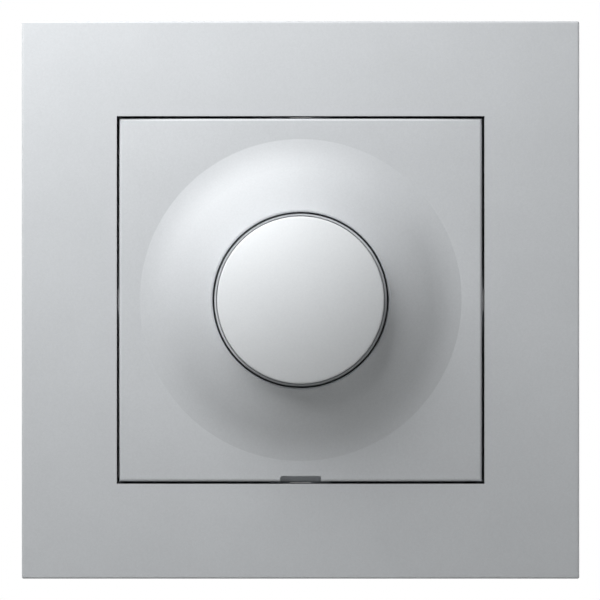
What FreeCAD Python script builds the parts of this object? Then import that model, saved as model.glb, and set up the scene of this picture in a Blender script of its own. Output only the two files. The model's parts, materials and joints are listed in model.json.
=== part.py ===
"""Rotary dimmer switch for a flush wall box.

Lengths are in millimetres and angles in degrees.  The origin is the centre of
the mounting ring's rear face, which lies on the wall.  +Z is up and the front
faces -Y.  Levels are counted forward from the wall, so a level of 10 lies at
y = -10.
"""
import FreeCAD
import Part
import Sketcher
import math
import os
import re

SIZES = {
    # Cover frame
    "frame_front": 10.0,
    "frame_wall": 2.0,
    "frame_face": 2.2,
    "frame_draft": 1.0,
    "frame_edge": 0.3,
    "frame_foot_gap": 0.3,
    "frame_clear": 4.5,
    "collar_wall": 1.4,
    "ledge_width": 1.2,
    "ledge_level": 3.0,
    "ledge_roof": 0.6,
    "screw_notch_width": 9.0,
    "screw_notch_height": 2.6,
    "frame_rib_wall": 1.2,
    "frame_rib_offset": 15.0,
    # Centre plate
    "plate_gap": 0.4,
    "plate_proud": 0.2,
    "plate_thickness": 2.0,
    "plate_skirt": 1.2,
    "plate_edge": 0.35,
    "crown_radius": 190.0,
    "dome_margin": 3.05,
    "dome_turn": 0.62,
    "dome_foot_slope": 7.0,
    "dome_steep_slope": 26.5,
    "dome_rim_slope": 18.0,
    "dome_wall": 1.8,
    "well_gap": 0.27,
    "well_wall": 1.3,
    "well_floor": 1.6,
    "rim_edge": 0.25,
    "plate_rib_wall": 1.0,
    "rib_root": 0.4,
    "notch_width": 6.1,
    "notch_height": 0.8,
    "notch_depth": 1.5,
    "notch_corner": 0.3,
    # Knob and its clip
    "knob_radius": 12.4,
    "knob_groove": 0.23,
    "knob_groove_depth": 1.2,
    "knob_lip": 0.25,
    "knob_lip_drop": 0.5,
    "knob_stand": 4.4,
    "knob_crown": 2.1,
    "knob_edge": 0.35,
    "knob_skirt": 1.5,
    "knob_top": 1.7,
    "knob_travel": 1.5,
    "knob_floor_gap": 0.6,
    "hub_radius": 4.6,
    "hub_gap": 0.4,
    "hub_slot": 0.8,
    "hub_slot_depth": 5.0,
    "knob_rib_wall": 1.0,
    "clip_wall": 0.5,
    "clip_height": 2.4,
    "clip_setback": 0.8,
    # Threaded bush, nuts and spindle
    "spindle_radius": 3.0,
    "spindle_flat": 1.5,
    "spindle_flat_lead": 0.5,
    "spindle_end_gap": 0.3,
    "shaft_lead": 0.4,
    "bush_radius": 5.0,
    "bush_flange_radius": 6.5,
    "bush_flange_height": 1.2,
    "bush_hole_gap": 0.15,
    "bush_overrun": 0.5,
    "running_gap": 0.06,
    "nut_flats": 14.0,
    "control_nut_height": 2.0,
    "plate_nut_height": 2.0,
    "washer_radius": 8.0,
    "washer_gauge": 0.5,
    "washer_notch_radius": 0.5,
    "plate_seat_gap": 0.3,
    # Mounting ring and claws
    "ring_margin": 2.0,
    "ring_corner": 9.0,
    "ring_gauge": 1.0,
    "box_screw_spacing": 60.0,
    "box_slot_length": 7.0,
    "box_slot_radius": 1.7,
    "claw_offset": 8.0,
    "claw_clear": 1.8,
    "claw_screw_offset": 2.4,
    "claw_pivot_depth": 5.0,
    "claw_pin_radius": 0.7,
    "claw_pin_gap": 0.05,
    "claw_pin_end": 0.4,
    "claw_width": 6.4,
    "claw_side_gap": 0.5,
    "claw_gauge": 1.0,
    "claw_knuckle_radius": 1.35,
    "claw_window_gap": 0.25,
    "claw_window_room": 0.9,
    "claw_tab_end": 1.0,
    "claw_reach": 15.5,
    "claw_tooth": 1.9,
    "claw_tooth_land": 0.6,
    "claw_notch_pitch": 1.88,
    "claw_notch_depth": 0.85,
    "claw_notch_width": 0.8,
    "claw_screw_radius": 1.5,
    "claw_screw_head": 2.3,
    "claw_head_height": 1.6,
    "claw_head_room": 0.5,
    "claw_screw_tip": 5.7,
    "head_chamfer": 0.5,
    "screw_gap": 0.1,
    "ear_length": 6.8,
    "ear_width": 3.1,
    # Heat sink, lid and housing
    "sink_gauge": 1.5,
    "tongue_clear": 4.2,
    "tongue_reach": 17.0,
    "tongue_width": 11.0,
    "tongue_gap": 0.3,
    "lid_thickness": 2.0,
    "housing_side_room": 5.3,
    "housing_round": 2.5,
    "housing_wall": 1.5,
    "housing_edge": 0.75,
    "solder_gap": 1.7,
    "vent_width": 1.4,
    "vent_length": 10.0,
    "rear_vent_length": 14.0,
    "vent_pitch": 3.6,
    "boss_radius": 2.4,
    "housing_screw_radius": 1.2,
    "housing_head_radius": 2.2,
    "housing_head_height": 1.6,
    "housing_screw_inset": 2.2,
    "housing_screw_up": 9.3,
    # Rotary control
    "control_radius": 8.5,
    "control_wall": 1.0,
    "control_depth": 7.0,
    "track_seat": 0.6,
    "track_gauge": 0.8,
    "track_hole": 3.8,
    "track_gap": 0.1,
    "tail_overlap": 1.4,
    "tail_side": 0.2,
    "tail_window_room": 0.5,
    "rotor_gauge": 2.4,
    "rotor_gap": 0.6,
    "rotor_rim": 0.8,
    "rotor_hub": 1.1,
    "rotor_tab": 0.24,
    "stop_reach": 0.45,
    "wiper_gauge": 0.3,
    "wiper_width": 1.4,
    "wiper_edge": 0.3,
    "finger_radius": 0.5,
    "contact_gap": 0.1,
    "pin_pitch": 2.5,
    "pin_width": 0.9,
    "pin_gauge": 0.4,
    "pin_hook": 0.6,
    "pin_slot_gap": 0.05,
    # Push switch
    "switch_side": 14.0,
    "switch_wall": 1.0,
    "switch_depth": 10.7,
    "switch_hole_gap": 0.4,
    "slider_side": 7.0,
    "slider_depth": 4.3,
    "nose_radius": 2.8,
    "nose_length": 1.2,
    "spigot_radius": 1.1,
    "spigot_length": 1.9,
    "spigot_gap": 0.05,
    "bridge_gauge": 0.4,
    "bridge_half_length": 5.2,
    "bridge_half_width": 1.3,
    "button_radius": 0.6,
    "contact_reach": 2.4,
    "spring_radius": 2.0,
    "spring_wire": 0.25,
    "spring_turns": 4.0,
    # Circuit board and what it carries
    "board_gauge": 1.6,
    "board_gap": 0.3,
    "choke_aside": 8.3,
    "choke_clear": 1.7,
    "choke_core_outer": 4.9,
    "choke_core_inner": 2.9,
    "choke_core_height": 6.0,
    "choke_wire": 0.7,
    "choke_wire_gap": 0.1,
    "choke_slack": 0.05,
    "triac_aside": 10.0,
    "triac_width": 10.0,
    "triac_tab_gauge": 1.3,
    "triac_body_gauge": 4.4,
    "triac_body_length": 9.0,
    "triac_tab_length": 6.4,
    "triac_lead_pitch": 2.54,
    "triac_lead_width": 0.8,
    "triac_lead_gauge": 0.5,
    "triac_lead_hole": 0.75,
    "triac_lid_gap": 0.8,
    "pad_gauge": 0.3,
    "pad_margin": 0.3,
    "pad_setback": 0.5,
    "triac_screw_radius": 1.5,
    "triac_head_radius": 2.7,
    "triac_head_height": 1.8,
    "triac_screw_end": 1.2,
    "noise_width": 4.6,
    "noise_length": 12.5,
    "noise_height": 10.5,
    "noise_lead_pitch": 8.75,
    "noise_wall_gap": 0.4,
    "noise_down": 0.6,
    "timing_width": 2.6,
    "timing_length": 6.4,
    "timing_height": 6.0,
    "timing_lead_pitch": 4.5,
    "timing_control_gap": 0.7,
    "timing_down": 3.6,
    "part_edge": 0.4,
    "resistor_radius": 1.1,
    "resistor_length": 6.0,
    "resistor_pitch": 3.2,
    "resistor_rise": 1.6,
    "diac_radius": 0.9,
    "diac_length": 3.8,
    "diac_wall_gap": 2.0,
    "diac_down": 1.6,
    "lead_radius": 0.3,
    "axial_lead_radius": 0.24,
    "lead_gap": 0.1,
    "lead_bend": 0.8,
    "lead_overrun": 0.8,
    "trimmer_clear": 0.7,
    "trimmer_up": 5.0,
    "trimmer_radius": 3.2,
    "trimmer_depth": 3.6,
    "trimmer_dial_radius": 2.0,
    "trimmer_dial_height": 1.1,
    "dial_seat": 1.2,
    "dial_gap": 0.1,
    "trimmer_hole": 1.8,
    # Terminals
    "terminal_pitch": 9.4,
    "terminal_floor_gap": 2.5,
    "cage_width": 6.0,
    "cage_length": 6.0,
    "cage_wall": 1.0,
    "cage_nut_wall": 1.5,
    "cage_window": 4.9,
    "cage_travel": 2.4,
    "bar_gauge": 0.8,
    "bar_width": 3.6,
    "bar_leg_room": 1.9,
    "bar_leg_end": 0.6,
    "bar_tail": 1.0,
    "bar_turn_gap": 0.8,
    "bar_slot_gap": 0.15,
    "wire_entry": 3.8,
    "terminal_screw_radius": 1.5,
    "terminal_head_radius": 2.0,
    "terminal_head_height": 1.5,
    "terminal_access": 1.8,
    "terminal_screw_edge": 0.3,
    "terminal_gap": 0.1,
    "terminal_head_gap": 1.8,
    "partition_wall": 1.0,
    "partition_reach": 4.25,
    "driver_slot": 0.6,
    "driver_slot_depth": 0.7,
}

DERIVED = {
    # Levels forward of the wall
    "ring_front": "ring_gauge",
    "sink_back": "-sink_gauge",
    "lid_back": "sink_back - lid_thickness",
    "flange_back": "lid_back - bush_flange_height",
    "control_back": "lid_back - control_depth",
    "track_back": "control_back + track_seat",
    "track_front": "track_back + track_gauge",
    "rotor_front": "flange_back - rotor_gap",
    "rotor_back": "rotor_front - rotor_gauge",
    "wiper_back": "rotor_back - wiper_gauge",
    "board_front": "control_back - switch_depth",
    "board_back": "board_front - board_gauge",
    "floor_front": "board_back - solder_gap",
    "base_back": "floor_front - housing_wall",
    "terminal_depth": "-(floor_front) - terminal_floor_gap - bar_tail - cage_length / 2",
    "partition_front": "-(terminal_depth) + cage_length / 2 + partition_reach",
    "washer_front": "ring_front + washer_gauge",
    "control_nut_front": "washer_front + control_nut_height",
    "well_floor_back": "control_nut_front + plate_seat_gap",
    "well_floor_front": "well_floor_back + well_floor",
    "plate_nut_front": "well_floor_front + plate_nut_height",
    "bush_front": "plate_nut_front + bush_overrun",
    "plate_front": "frame_front + plate_proud",
    "plate_under": "plate_front - plate_thickness",
    "knob_back": "well_floor_front + knob_travel + knob_floor_gap",
    "hub_back": "bush_front + knob_travel + hub_gap",
    # Terminals, heights below the middle, from the switch down to the housing's wall
    "leg_top": "-switch_side / 2 - bar_leg_room",
    "leg_bottom": "leg_top - bar_gauge",
    "cage_top": "leg_bottom - bar_gauge / 2 - terminal_gap",
    "board_foot": "-(cage_top) + terminal_gap",
    "cage_nut_top": "cage_top - cage_wall - cage_window",
    "cage_nut_bottom": "cage_nut_top - cage_nut_wall",
    "screw_tip": "cage_nut_top + terminal_gap * 2",
    "bar_face": "screw_tip + terminal_gap",
    "bar_top": "bar_face + bar_gauge",
    "head_top": "cage_nut_bottom - cage_travel - terminal_gap * 2",
    "head_bottom": "head_top - terminal_head_height",
    "wire_up": "cage_nut_top + cage_window - wire_entry / 2 - terminal_gap",
    # Housing round the terminals, and its inside offset by the wall
    "inside_half_height": "terminal_head_gap - (head_bottom)",
    "housing_half_height": "inside_half_height + housing_wall",
    "housing_half_width": "terminal_pitch * 1.5 + housing_side_room",
    "housing_radius": "housing_half_height + housing_round",
    "inside_half_width": "housing_half_width - housing_wall",
    "inside_radius": "housing_radius - housing_wall",
    "housing_screw_aside": "inside_half_width - housing_screw_inset",
    "board_half_width": "inside_half_width - board_gap",
    "board_head": "inside_half_height - board_gap",
    "board_radius": "inside_radius - board_gap",
    "choke_up": "inside_half_height - choke_core_outer - choke_wire - choke_clear",
    "tongue_offset": "inside_half_height - sink_gauge - tongue_clear",
    "trimmer_aside": "inside_half_width - trimmer_radius - trimmer_clear",
    # Claws beside the housing
    "claw_pivot_place": "housing_half_width + claw_clear",
    "claw_screw_place": "claw_pivot_place + claw_screw_offset",
    "claw_half": "claw_width / 2",
    "ear_inner": "claw_half + claw_side_gap",
    "ear_outer": "ear_inner + ring_gauge",
    "claw_window_end": "claw_screw_place + claw_screw_radius + claw_window_room",
    # Ring, cover frame and centre plate, half widths from the middle
    "ring_half": "(box_screw_spacing + box_slot_length) / 2 + ring_margin",
    "inner_half": "ring_half + frame_clear",
    "frame_half": "inner_half + frame_wall",
    "opening_half": "claw_screw_place + claw_screw_head + claw_head_room + ledge_width",
    "collar_half": "opening_half + collar_wall",
    "ledge_half": "opening_half - ledge_width",
    "plate_half": "opening_half - plate_gap",
    "cavity_half": "plate_half - plate_skirt",
    # Dome: a hollow foot that turns into a bulged shoulder at one tangent point
    "dome_radius": "plate_half - dome_margin",
    "lip_radius": "knob_radius + knob_groove + knob_lip",
    "well_radius": "lip_radius + well_gap",
    "turn_radius": "well_radius + (dome_radius - well_radius) * dome_turn",
    "foot_arc": "(dome_radius - turn_radius) / (sin(dome_steep_slope) - sin(dome_foot_slope))",
    "foot_rise": "foot_arc * (cos(dome_foot_slope) - cos(dome_steep_slope))",
    "shoulder_arc": "(turn_radius - well_radius) / (sin(dome_steep_slope) - sin(dome_rim_slope))",
    "shoulder_rise": "shoulder_arc * (cos(dome_rim_slope) - cos(dome_steep_slope))",
    "turn_level": "plate_front + foot_rise",
    "dome_top": "turn_level + shoulder_rise",
    "plate_reach": "plate_half * 1.5",
    "crown_drop": "crown_radius - sqrt(crown_radius ^ 2 - (plate_reach - dome_radius) ^ 2)",
    # Knob, with a lip round its foot just behind the dome's rim
    "knob_rim": "dome_top + knob_stand",
    "knob_face": "knob_rim + knob_crown",
    "knob_sphere": "(knob_radius ^ 2 + knob_crown ^ 2) / (2 * knob_crown)",
    "knob_under": "knob_rim - knob_top",
    "knob_bore": "knob_radius - knob_skirt",
    "lip_front": "dome_top - knob_lip_drop",
    "groove_back": "lip_front - knob_groove_depth",
    "spindle_front": "knob_under - spindle_end_gap",
    "spindle_back": "control_back - knob_floor_gap",
    "slider_front": "spindle_back - contact_gap",
    "slider_back": "slider_front - nose_length - slider_depth",
    "bridge_back": "slider_back - bridge_gauge",
    # Triac on the tongue
    "triac_face": "tongue_offset - pad_gauge",
    "triac_tab_front": "lid_back - triac_lid_gap",
    "triac_split": "triac_tab_front - triac_tab_length",
    "triac_body_back": "triac_split - triac_body_length",
    "tongue_back": "sink_back - tongue_reach",
    # Trimmer and rotary control
    "trimmer_seat": "board_front + trimmer_depth",
    "dial_front": "trimmer_seat + trimmer_dial_height",
    "control_inner": "control_radius - control_wall",
    "rotor_radius": "control_inner - rotor_gap",
    "wiper_outer": "rotor_radius - wiper_edge",
    "wiper_inner": "wiper_outer - wiper_width",
}

# How far a cut runs past a face that it opens, and how far two cuts that meet run into each other
OVERRUN = "1"
MEETING = "0.05"

# How near its outline an edge lies to be dressed, how far out a square's corners lie in shares of
# its half width, how much longer than wide a forward edge is, and how near two equal levels are
EDGE_ZONE = 1.0
CORNER_REACH = 1.3
FORWARD_SHARE = 4
SAME_LEVEL = 1e-4

# How many times small forms repeat, and the steps of those that stand in rows
WASHER_NOTCHES = 12
CHOKE_TURNS = 10
WIRE_FACES = 8
ROW_OF_THREE = (-1, 0, 1)
ROW_OF_FOUR = (-1.5, -0.5, 0.5, 1.5)

# Where capacitors stand on the board: across, up, length and distance between their leads
CAPACITOR_PLACES = {
    "noise_capacitor": (
        "-inside_half_width + noise_width / 2 + noise_wall_gap", "-noise_down", "noise_length",
        "noise_lead_pitch"),
    "timing_capacitor": (
        "control_radius + timing_width / 2 + timing_control_gap", "-timing_down", "timing_length",
        "timing_lead_pitch"),
}

# Where round parts lie on the board: places across, up and length
LYING_PLACES = {
    "resistors": (("0", "resistor_pitch"), "choke_up + resistor_rise", "resistor_length"),
    "diac": (("inside_half_width - diac_wall_gap",), "-diac_down", "diac_length"),
}

document = FreeCAD.newDocument("RotaryDimmerSwitch")
sheet = document.addObject("Spreadsheet::Sheet", "Sizes")
for row, (alias, number) in enumerate(SIZES.items(), start=1):
    sheet.set(f"A{row}", alias)
    sheet.set(f"B{row}", str(number))
    sheet.setAlias(f"B{row}", alias)
document.recompute()

NODES = []


def linked(expression):
    """Write an expression out in terms of the sheet's cells."""
    def swap(match):
        word = match.group(0)
        if word in SIZES:
            return f"Sizes.{word}"
        if word in DERIVED:
            return f"({linked(DERIVED[word])})"
        return word
    return re.sub(r"[a-z][a-z_]+", swap, str(expression))


def value(expression):
    """Work out an expression from the sheet's present numbers."""
    return float(sheet.evalExpression(linked(expression)))


def negated(expression):
    return f"-({expression})"


def place_point(sketch, geometry, end, x, y):
    """Tie one point of a sketch to two expressions."""
    for kind, size in (("DistanceX", x), ("DistanceY", y)):
        index = sketch.addConstraint(Sketcher.Constraint(kind, -1, 1, geometry, end, value(size)))
        sketch.setExpression(f"Constraints[{index}]", linked(size))


def tie_radius(sketch, geometry, radius):
    index = sketch.addConstraint(Sketcher.Constraint("Radius", geometry, value(radius)))
    sketch.setExpression(f"Constraints[{index}]", linked(radius))


def arc_between(start, end, radius, left, large):
    """An arc from start to end that turns left or right, the short way round or the large way."""
    chord = end - start
    middle = (start + end) * 0.5
    sideways = FreeCAD.Vector(-chord.y, chord.x, 0).normalize()
    height = math.sqrt(max(radius ** 2 - (chord.Length / 2) ** 2, 0.0))
    centre = middle + sideways * (height if left != large else -height)
    angle_start = math.atan2(start.y - centre.y, start.x - centre.x)
    angle_end = math.atan2(end.y - centre.y, end.x - centre.x)
    ring = Part.Circle(centre, FreeCAD.Vector(0, 0, 1), radius)
    if left:
        return Part.ArcOfCircle(ring, angle_start, angle_end), (1, 2)
    return Part.ArcOfCircle(ring, angle_end, angle_start), (2, 1)


def outline(*points):
    """A closed outline.  A point is (a, b), or (a, b, radius, left) where an arc starts.

    A fifth value of True marks an arc of more than half a turn.
    """
    def draw(sketch, mapped, mirrored):
        first = sketch.GeometryCount
        places = [mapped(point[0], point[1]) for point in points]
        vectors = [FreeCAD.Vector(value(x), value(y), 0) for x, y in places]
        ends = []
        for index, point in enumerate(points):
            start = vectors[index]
            end = vectors[(index + 1) % len(points)]
            if len(point) == 2:
                geometry, pair = Part.LineSegment(start, end), (1, 2)
            else:
                geometry, pair = arc_between(
                    start, end, value(point[2]), point[3] != mirrored, len(point) > 4)
            sketch.addGeometry(geometry, False)
            ends.append(pair)
        for index, pair in enumerate(ends):
            following = (index + 1) % len(points)
            sketch.addConstraint(Sketcher.Constraint(
                "Coincident", first + index, pair[1], first + following, ends[following][0]))
        for index, (x, y) in enumerate(places):
            place_point(sketch, first + index, ends[index][0], x, y)
            if len(points[index]) > 2:
                tie_radius(sketch, first + index, points[index][2])
    return draw


def rectangle(low_a, low_b, high_a, high_b):
    return outline((low_a, low_b), (high_a, low_b), (high_a, high_b), (low_a, high_b))


def square(half):
    return rectangle(negated(half), negated(half), half, half)


def centred(a, b, half_a, half_b):
    """A rectangle about a middle point."""
    return rectangle(f"{a} - ({half_a})", f"{b} - ({half_b})", f"{a} + {half_a}", f"{b} + {half_b}")


def bands(low, high, half_run, aside="0"):
    """The same rectangle on all four sides, between two distances from the middle."""
    middle, half = f"(({low}) + ({high})) / 2", f"(({high}) - ({low})) / 2"
    outlines = []
    for way in ("", "-"):
        spot = f"{way}({middle})"
        outlines += [centred(spot, aside, half, half_run), centred(aside, spot, half_run, half)]
    return outlines


def circle(a, b, radius):
    def draw(sketch, mapped, mirrored):
        x, y = mapped(a, b)
        ring = Part.Circle(FreeCAD.Vector(value(x), value(y), 0), FreeCAD.Vector(0, 0, 1), value(radius))
        geometry = sketch.addGeometry(ring, False)
        place_point(sketch, geometry, 3, x, y)
        tie_radius(sketch, geometry, radius)
    return draw


def flatted_circle(radius, flat):
    """A circle about the middle with a flat across its top."""
    reach = f"sqrt(({radius}) ^ 2 - ({flat}) ^ 2)"
    return outline((reach, flat), (negated(reach), flat, radius, True, True))


def slot(a, b, length, radius, along_a=True):
    """A slot with round ends, of an end-to-end length."""
    def draw(sketch, mapped, mirrored):
        reach = f"(({length}) / 2 - ({radius}))"
        turn = 0.0 if along_a else math.pi / 2
        ways = ("+", "-")
        first = sketch.GeometryCount
        size = value(radius)
        centres = []
        for way in ways:
            spot = (f"{a} {way} {reach}", b) if along_a else (a, f"{b} {way} {reach}")
            centres.append(mapped(*spot))
        middles = [FreeCAD.Vector(value(x), value(y), 0) for x, y in centres]
        up = FreeCAD.Vector(-math.sin(turn), math.cos(turn), 0) * size
        upright = FreeCAD.Vector(0, 0, 1)
        half = math.pi / 2
        sketch.addGeometry(Part.ArcOfCircle(
            Part.Circle(middles[0], upright, size), turn - half, turn + half), False)
        sketch.addGeometry(Part.LineSegment(middles[0] + up, middles[1] + up), False)
        sketch.addGeometry(Part.ArcOfCircle(
            Part.Circle(middles[1], upright, size), turn + half, turn + 3 * half), False)
        sketch.addGeometry(Part.LineSegment(middles[1] - up, middles[0] - up), False)
        for index in range(4):
            sketch.addConstraint(Sketcher.Constraint(
                "Tangent", first + index, 2, first + (index + 1) % 4, 1))
        for index, (x, y) in zip((0, 2), centres):
            place_point(sketch, first + index, 3, x, y)
            tie_radius(sketch, first + index, radius)
    return draw


def clipped(half_width, half_height, radius):
    """A rectangle whose corners are cut by a circle about the middle."""
    side = f"sqrt(({radius}) ^ 2 - ({half_width}) ^ 2)"
    top = f"sqrt(({radius}) ^ 2 - ({half_height}) ^ 2)"
    left, bottom = negated(half_width), negated(half_height)
    return outline(
        (half_width, negated(side)), (half_width, side, radius, True),
        (top, half_height), (negated(top), half_height, radius, True),
        (left, side), (left, negated(side), radius, True),
        (negated(top), bottom), (top, bottom, radius, True))


class Piece:
    """One separate piece, built from sketches on its own origin planes.

    The front view takes (across, up) and grows forward, the side view takes
    (level, up) and grows to the right, and the top view takes (across, level)
    and grows upward.
    """

    VIEWS = {
        "front": ("XZ_Plane", lambda a, b: (a, b), False),
        "side": ("YZ_Plane", lambda a, b: (negated(a), b), True),
        "top": ("XY_Plane", lambda a, b: (a, negated(b)), True),
    }

    def __init__(self, name, kept=True):
        self.name = name
        self.body = document.addObject("PartDesign::Body", name)
        self.body.Label = name
        self.steps = 0
        if kept:
            NODES.append(self.body)

    def add(self, kind, word):
        self.steps += 1
        return self.body.newObject(kind, f"{self.name}_{word}_{self.steps}")

    def sketch(self, view, offset, outlines):
        role, mapped, mirrored = self.VIEWS[view]
        sketch = self.add("Sketcher::SketchObject", "outline")
        plane = next(item for item in self.body.Origin.OriginFeatures if item.Role == role)
        sketch.AttachmentSupport = [(plane, "")]
        sketch.MapMode = "FlatFace"
        for axis, size in zip("xyz", offset):
            sketch.setExpression(f"AttachmentOffset.Base.{axis}", linked(size))
        for draw in outlines:
            draw(sketch, mapped, mirrored)
        return sketch

    def pad(self, view, start, length, *outlines, draft=None):
        """Grow outlines from a starting offset by a length."""
        feature = self.add("PartDesign::Pad", "pad")
        feature.Profile = self.sketch(view, ("0", "0", start), outlines)
        feature.setExpression("Length", linked(length))
        if draft is not None:
            feature.setExpression("TaperAngle", linked(draft))
        return feature

    def cut(self, view, start, length, *outlines):
        """Cut outlines away from a starting offset by a length."""
        feature = self.add("PartDesign::Pocket", "pocket")
        feature.Profile = self.sketch(view, ("0", "0", start), outlines)
        feature.setExpression("Length", linked(length))
        feature.Reversed = True
        return feature

    def turn(self, *points, across="0", up="0", groove=False):
        """Turn an outline of (level, radius) points about an axis that points forward."""
        kind = "PartDesign::Groove" if groove else "PartDesign::Revolution"
        feature = self.add(kind, "turn")
        sketch = self.sketch("side", ("0", up, across), [outline(*points)])
        feature.Profile = sketch
        feature.ReferenceAxis = (sketch, ["H_Axis"])
        feature.Angle = 360
        return feature

    def turn_up(self, *points, across="0", level="0", groove=False):
        """Turn an outline of (radius, height) points about an upright axis."""
        kind = "PartDesign::Groove" if groove else "PartDesign::Revolution"
        feature = self.add(kind, "turn")
        sketch = self.sketch("front", (across, "0", level), [outline(*points)])
        feature.Profile = sketch
        feature.ReferenceAxis = (sketch, ["V_Axis"])
        feature.Angle = 360
        return feature

    def dress(self, kind, size, wanted):
        """Fillet or chamfer the edges that a test picks out."""
        document.recompute()
        base = self.body.Tip
        names = [f"Edge{index}" for index, edge in enumerate(base.Shape.Edges, start=1) if wanted(edge)]
        if not names:
            raise ValueError(f"{self.name}: no edge to dress")
        feature = self.add(f"PartDesign::{kind}", kind.lower())
        feature.Base = (base, names)
        feature.setExpression("Radius" if kind == "Fillet" else "Size", linked(size))
        return feature


def level_of(edge):
    """The level of an edge that lies in one plane parallel to the wall, or None."""
    box = edge.BoundBox
    return -box.YMin if box.YLength < SAME_LEVEL else None


def at_level(level):
    """A test for edges that lie at one level."""
    return lambda edge: level_of(edge) is not None and abs(level_of(edge) - value(level)) < SAME_LEVEL


def runs_forward(edge):
    """A test for straight edges that point forward, drafted ones among them."""
    box = edge.BoundBox
    return box.YLength > FORWARD_SHARE * max(box.XLength, box.ZLength)


def away(edge):
    """The distance of an edge's middle from the forward axis through the origin."""
    middle = edge.BoundBox.Center
    return math.hypot(middle.x, middle.z)


def cover_frame():
    frame = Piece("cover_frame")
    height = "frame_front - frame_foot_gap"
    frame.pad("front", "frame_foot_gap", height, square("frame_half"), draft="-frame_draft")
    frame.cut("front", "frame_foot_gap", f"{height} - frame_face", square("inner_half"), square(
        "collar_half"))
    frame.cut("front", "frame_foot_gap", "ring_front - frame_foot_gap", square("collar_half"))
    frame.cut("front", "ledge_level", "frame_front - ledge_level", square("opening_half"))
    frame.cut("front", "0", "frame_front", square("ledge_half"))
    half_notch = "screw_notch_width / 2"
    frame.cut("front", "ring_front", "screw_notch_height",
              *bands("opening_half", "collar_half + collar_wall", half_notch))
    frame.cut("front", "ring_front", "ledge_level - ledge_roof - ring_front",
              *bands("ledge_half - ledge_width", "opening_half", half_notch))
    rib_start = "ring_front + frame_foot_gap"
    rib_length = f"frame_front - frame_face / 2 - ({rib_start})"
    for side in ("", "-"):
        frame.pad("front", rib_start, rib_length, *bands(
            "collar_half - frame_wall / 4", "inner_half + frame_wall / 4", "frame_rib_wall / 2",
            f"{side}frame_rib_offset"))
    outer = value("frame_half") - EDGE_ZONE
    corner = outer * CORNER_REACH
    frame.dress("Fillet", "frame_edge", lambda edge: away(edge) > outer and (
        at_level("frame_front")(edge) or (runs_forward(edge) and away(edge) > corner)))


def centre_plate():
    plate = Piece("centre_plate")
    plate.turn(
        ("ledge_level", "0"), ("ledge_level", "plate_reach"),
        ("plate_front - crown_drop", "plate_reach", "crown_radius", False),
        ("plate_front", "dome_radius", "foot_arc", True),
        ("turn_level", "turn_radius", "shoulder_arc", False),
        ("dome_top", "well_radius"), ("dome_top", "0"))
    height = "dome_top - ledge_level"
    plate.cut("front", "ledge_level", height, square("plate_reach"), square("plate_half"))
    plate.cut("front", "ledge_level", "plate_under - ledge_level", square("cavity_half"),
              circle("0", "0", "well_radius + well_wall"))
    inner = "well_radius + well_wall"
    plate.turn(
        (f"plate_under - {OVERRUN}", inner), (f"plate_under - {OVERRUN}", "dome_radius - dome_wall / 2"),
        ("plate_under", "dome_radius - dome_wall / 2"),
        ("dome_top - dome_wall - (well_wall * tan(dome_rim_slope))", inner), groove=True)
    plate.cut("front", "well_floor_front", "dome_top - well_floor_front", circle("0", "0", "well_radius"))
    plate.cut("front", "ledge_level", "well_floor_back - ledge_level", circle(
        "0", "0", f"{inner} + {MEETING}"))
    plate.cut("front", "well_floor_back", "well_floor", circle("0", "0", "bush_radius + bush_hole_gap"))
    outer = value("plate_half") - EDGE_ZONE
    low, tall = value("plate_front - 2 * crown_drop"), value("2 * crown_drop")
    plate.dress("Fillet", "plate_edge", lambda edge: away(edge) > outer
                and edge.BoundBox.YMin < -low and edge.BoundBox.YLength < tall)
    plate.dress("Fillet", "rim_edge", at_level("dome_top"))
    inside, outside = "well_radius + well_wall / 2", "cavity_half + plate_skirt / 2"
    rib_top, rib_foot = "dome_top - dome_wall + rib_root", "plate_under + rib_root"
    for way in ("", "-"):
        profile = (
            ("well_floor_front", inside), (rib_top, inside), (rib_foot, "dome_radius - dome_wall / 2"),
            (rib_foot, outside), ("well_floor_front", outside))
        plate.pad("side", "-plate_rib_wall / 2", "plate_rib_wall", outline(
            *[(level, f"{way}({along})") for level, along in profile]))
        plate.pad("top", "-plate_rib_wall / 2", "plate_rib_wall", outline(
            *[(f"{way}({along})", level) for level, along in profile]))
    plate.cut("front", "plate_front - notch_depth", f"notch_depth + {OVERRUN}",
              centred("0", "-plate_half", "notch_width / 2", "notch_height"))
    notch_top = value("notch_height - plate_half")
    plate.dress("Fillet", "notch_corner", lambda edge: runs_forward(edge)
                and abs(edge.BoundBox.Center.z - notch_top) < SAME_LEVEL)


def rotary_knob():
    knob = Piece("rotary_knob")
    lip_inner = "lip_radius - knob_lip"
    knob.turn(
        ("knob_back", "0"), ("knob_back", "lip_radius"), ("lip_front", "lip_radius"),
        ("lip_front", lip_inner), ("groove_back", lip_inner), ("groove_back", "knob_radius"),
        ("knob_rim", "knob_radius", "knob_sphere", False), ("knob_face", "0"))
    knob.cut("front", "knob_back", "knob_under - knob_back", circle("0", "0", "knob_bore"),
             circle("0", "0", "hub_radius"))
    knob.cut("front", "knob_back", "hub_back - knob_back", circle("0", "0", f"hub_radius + {MEETING}"))
    knob.cut("front", "hub_back", "knob_under - hub_back", flatted_circle("spindle_radius", "spindle_flat"))
    knob.cut("front", "hub_back", "hub_slot_depth", centred(
        "0", "0", f"hub_radius + {OVERRUN}", "hub_slot / 2"))
    rib_start = "hub_back + hub_slot_depth"
    knob.pad("front", rib_start, f"knob_under + rib_root - ({rib_start})",
             *bands("hub_radius - rib_root", "knob_bore + rib_root", "knob_rib_wall / 2"))
    rim = value("knob_radius")
    knob.dress("Fillet", "knob_edge", lambda edge: at_level("knob_rim")(edge)
               and abs(edge.BoundBox.XLength - 2 * rim) < SAME_LEVEL)


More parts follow.
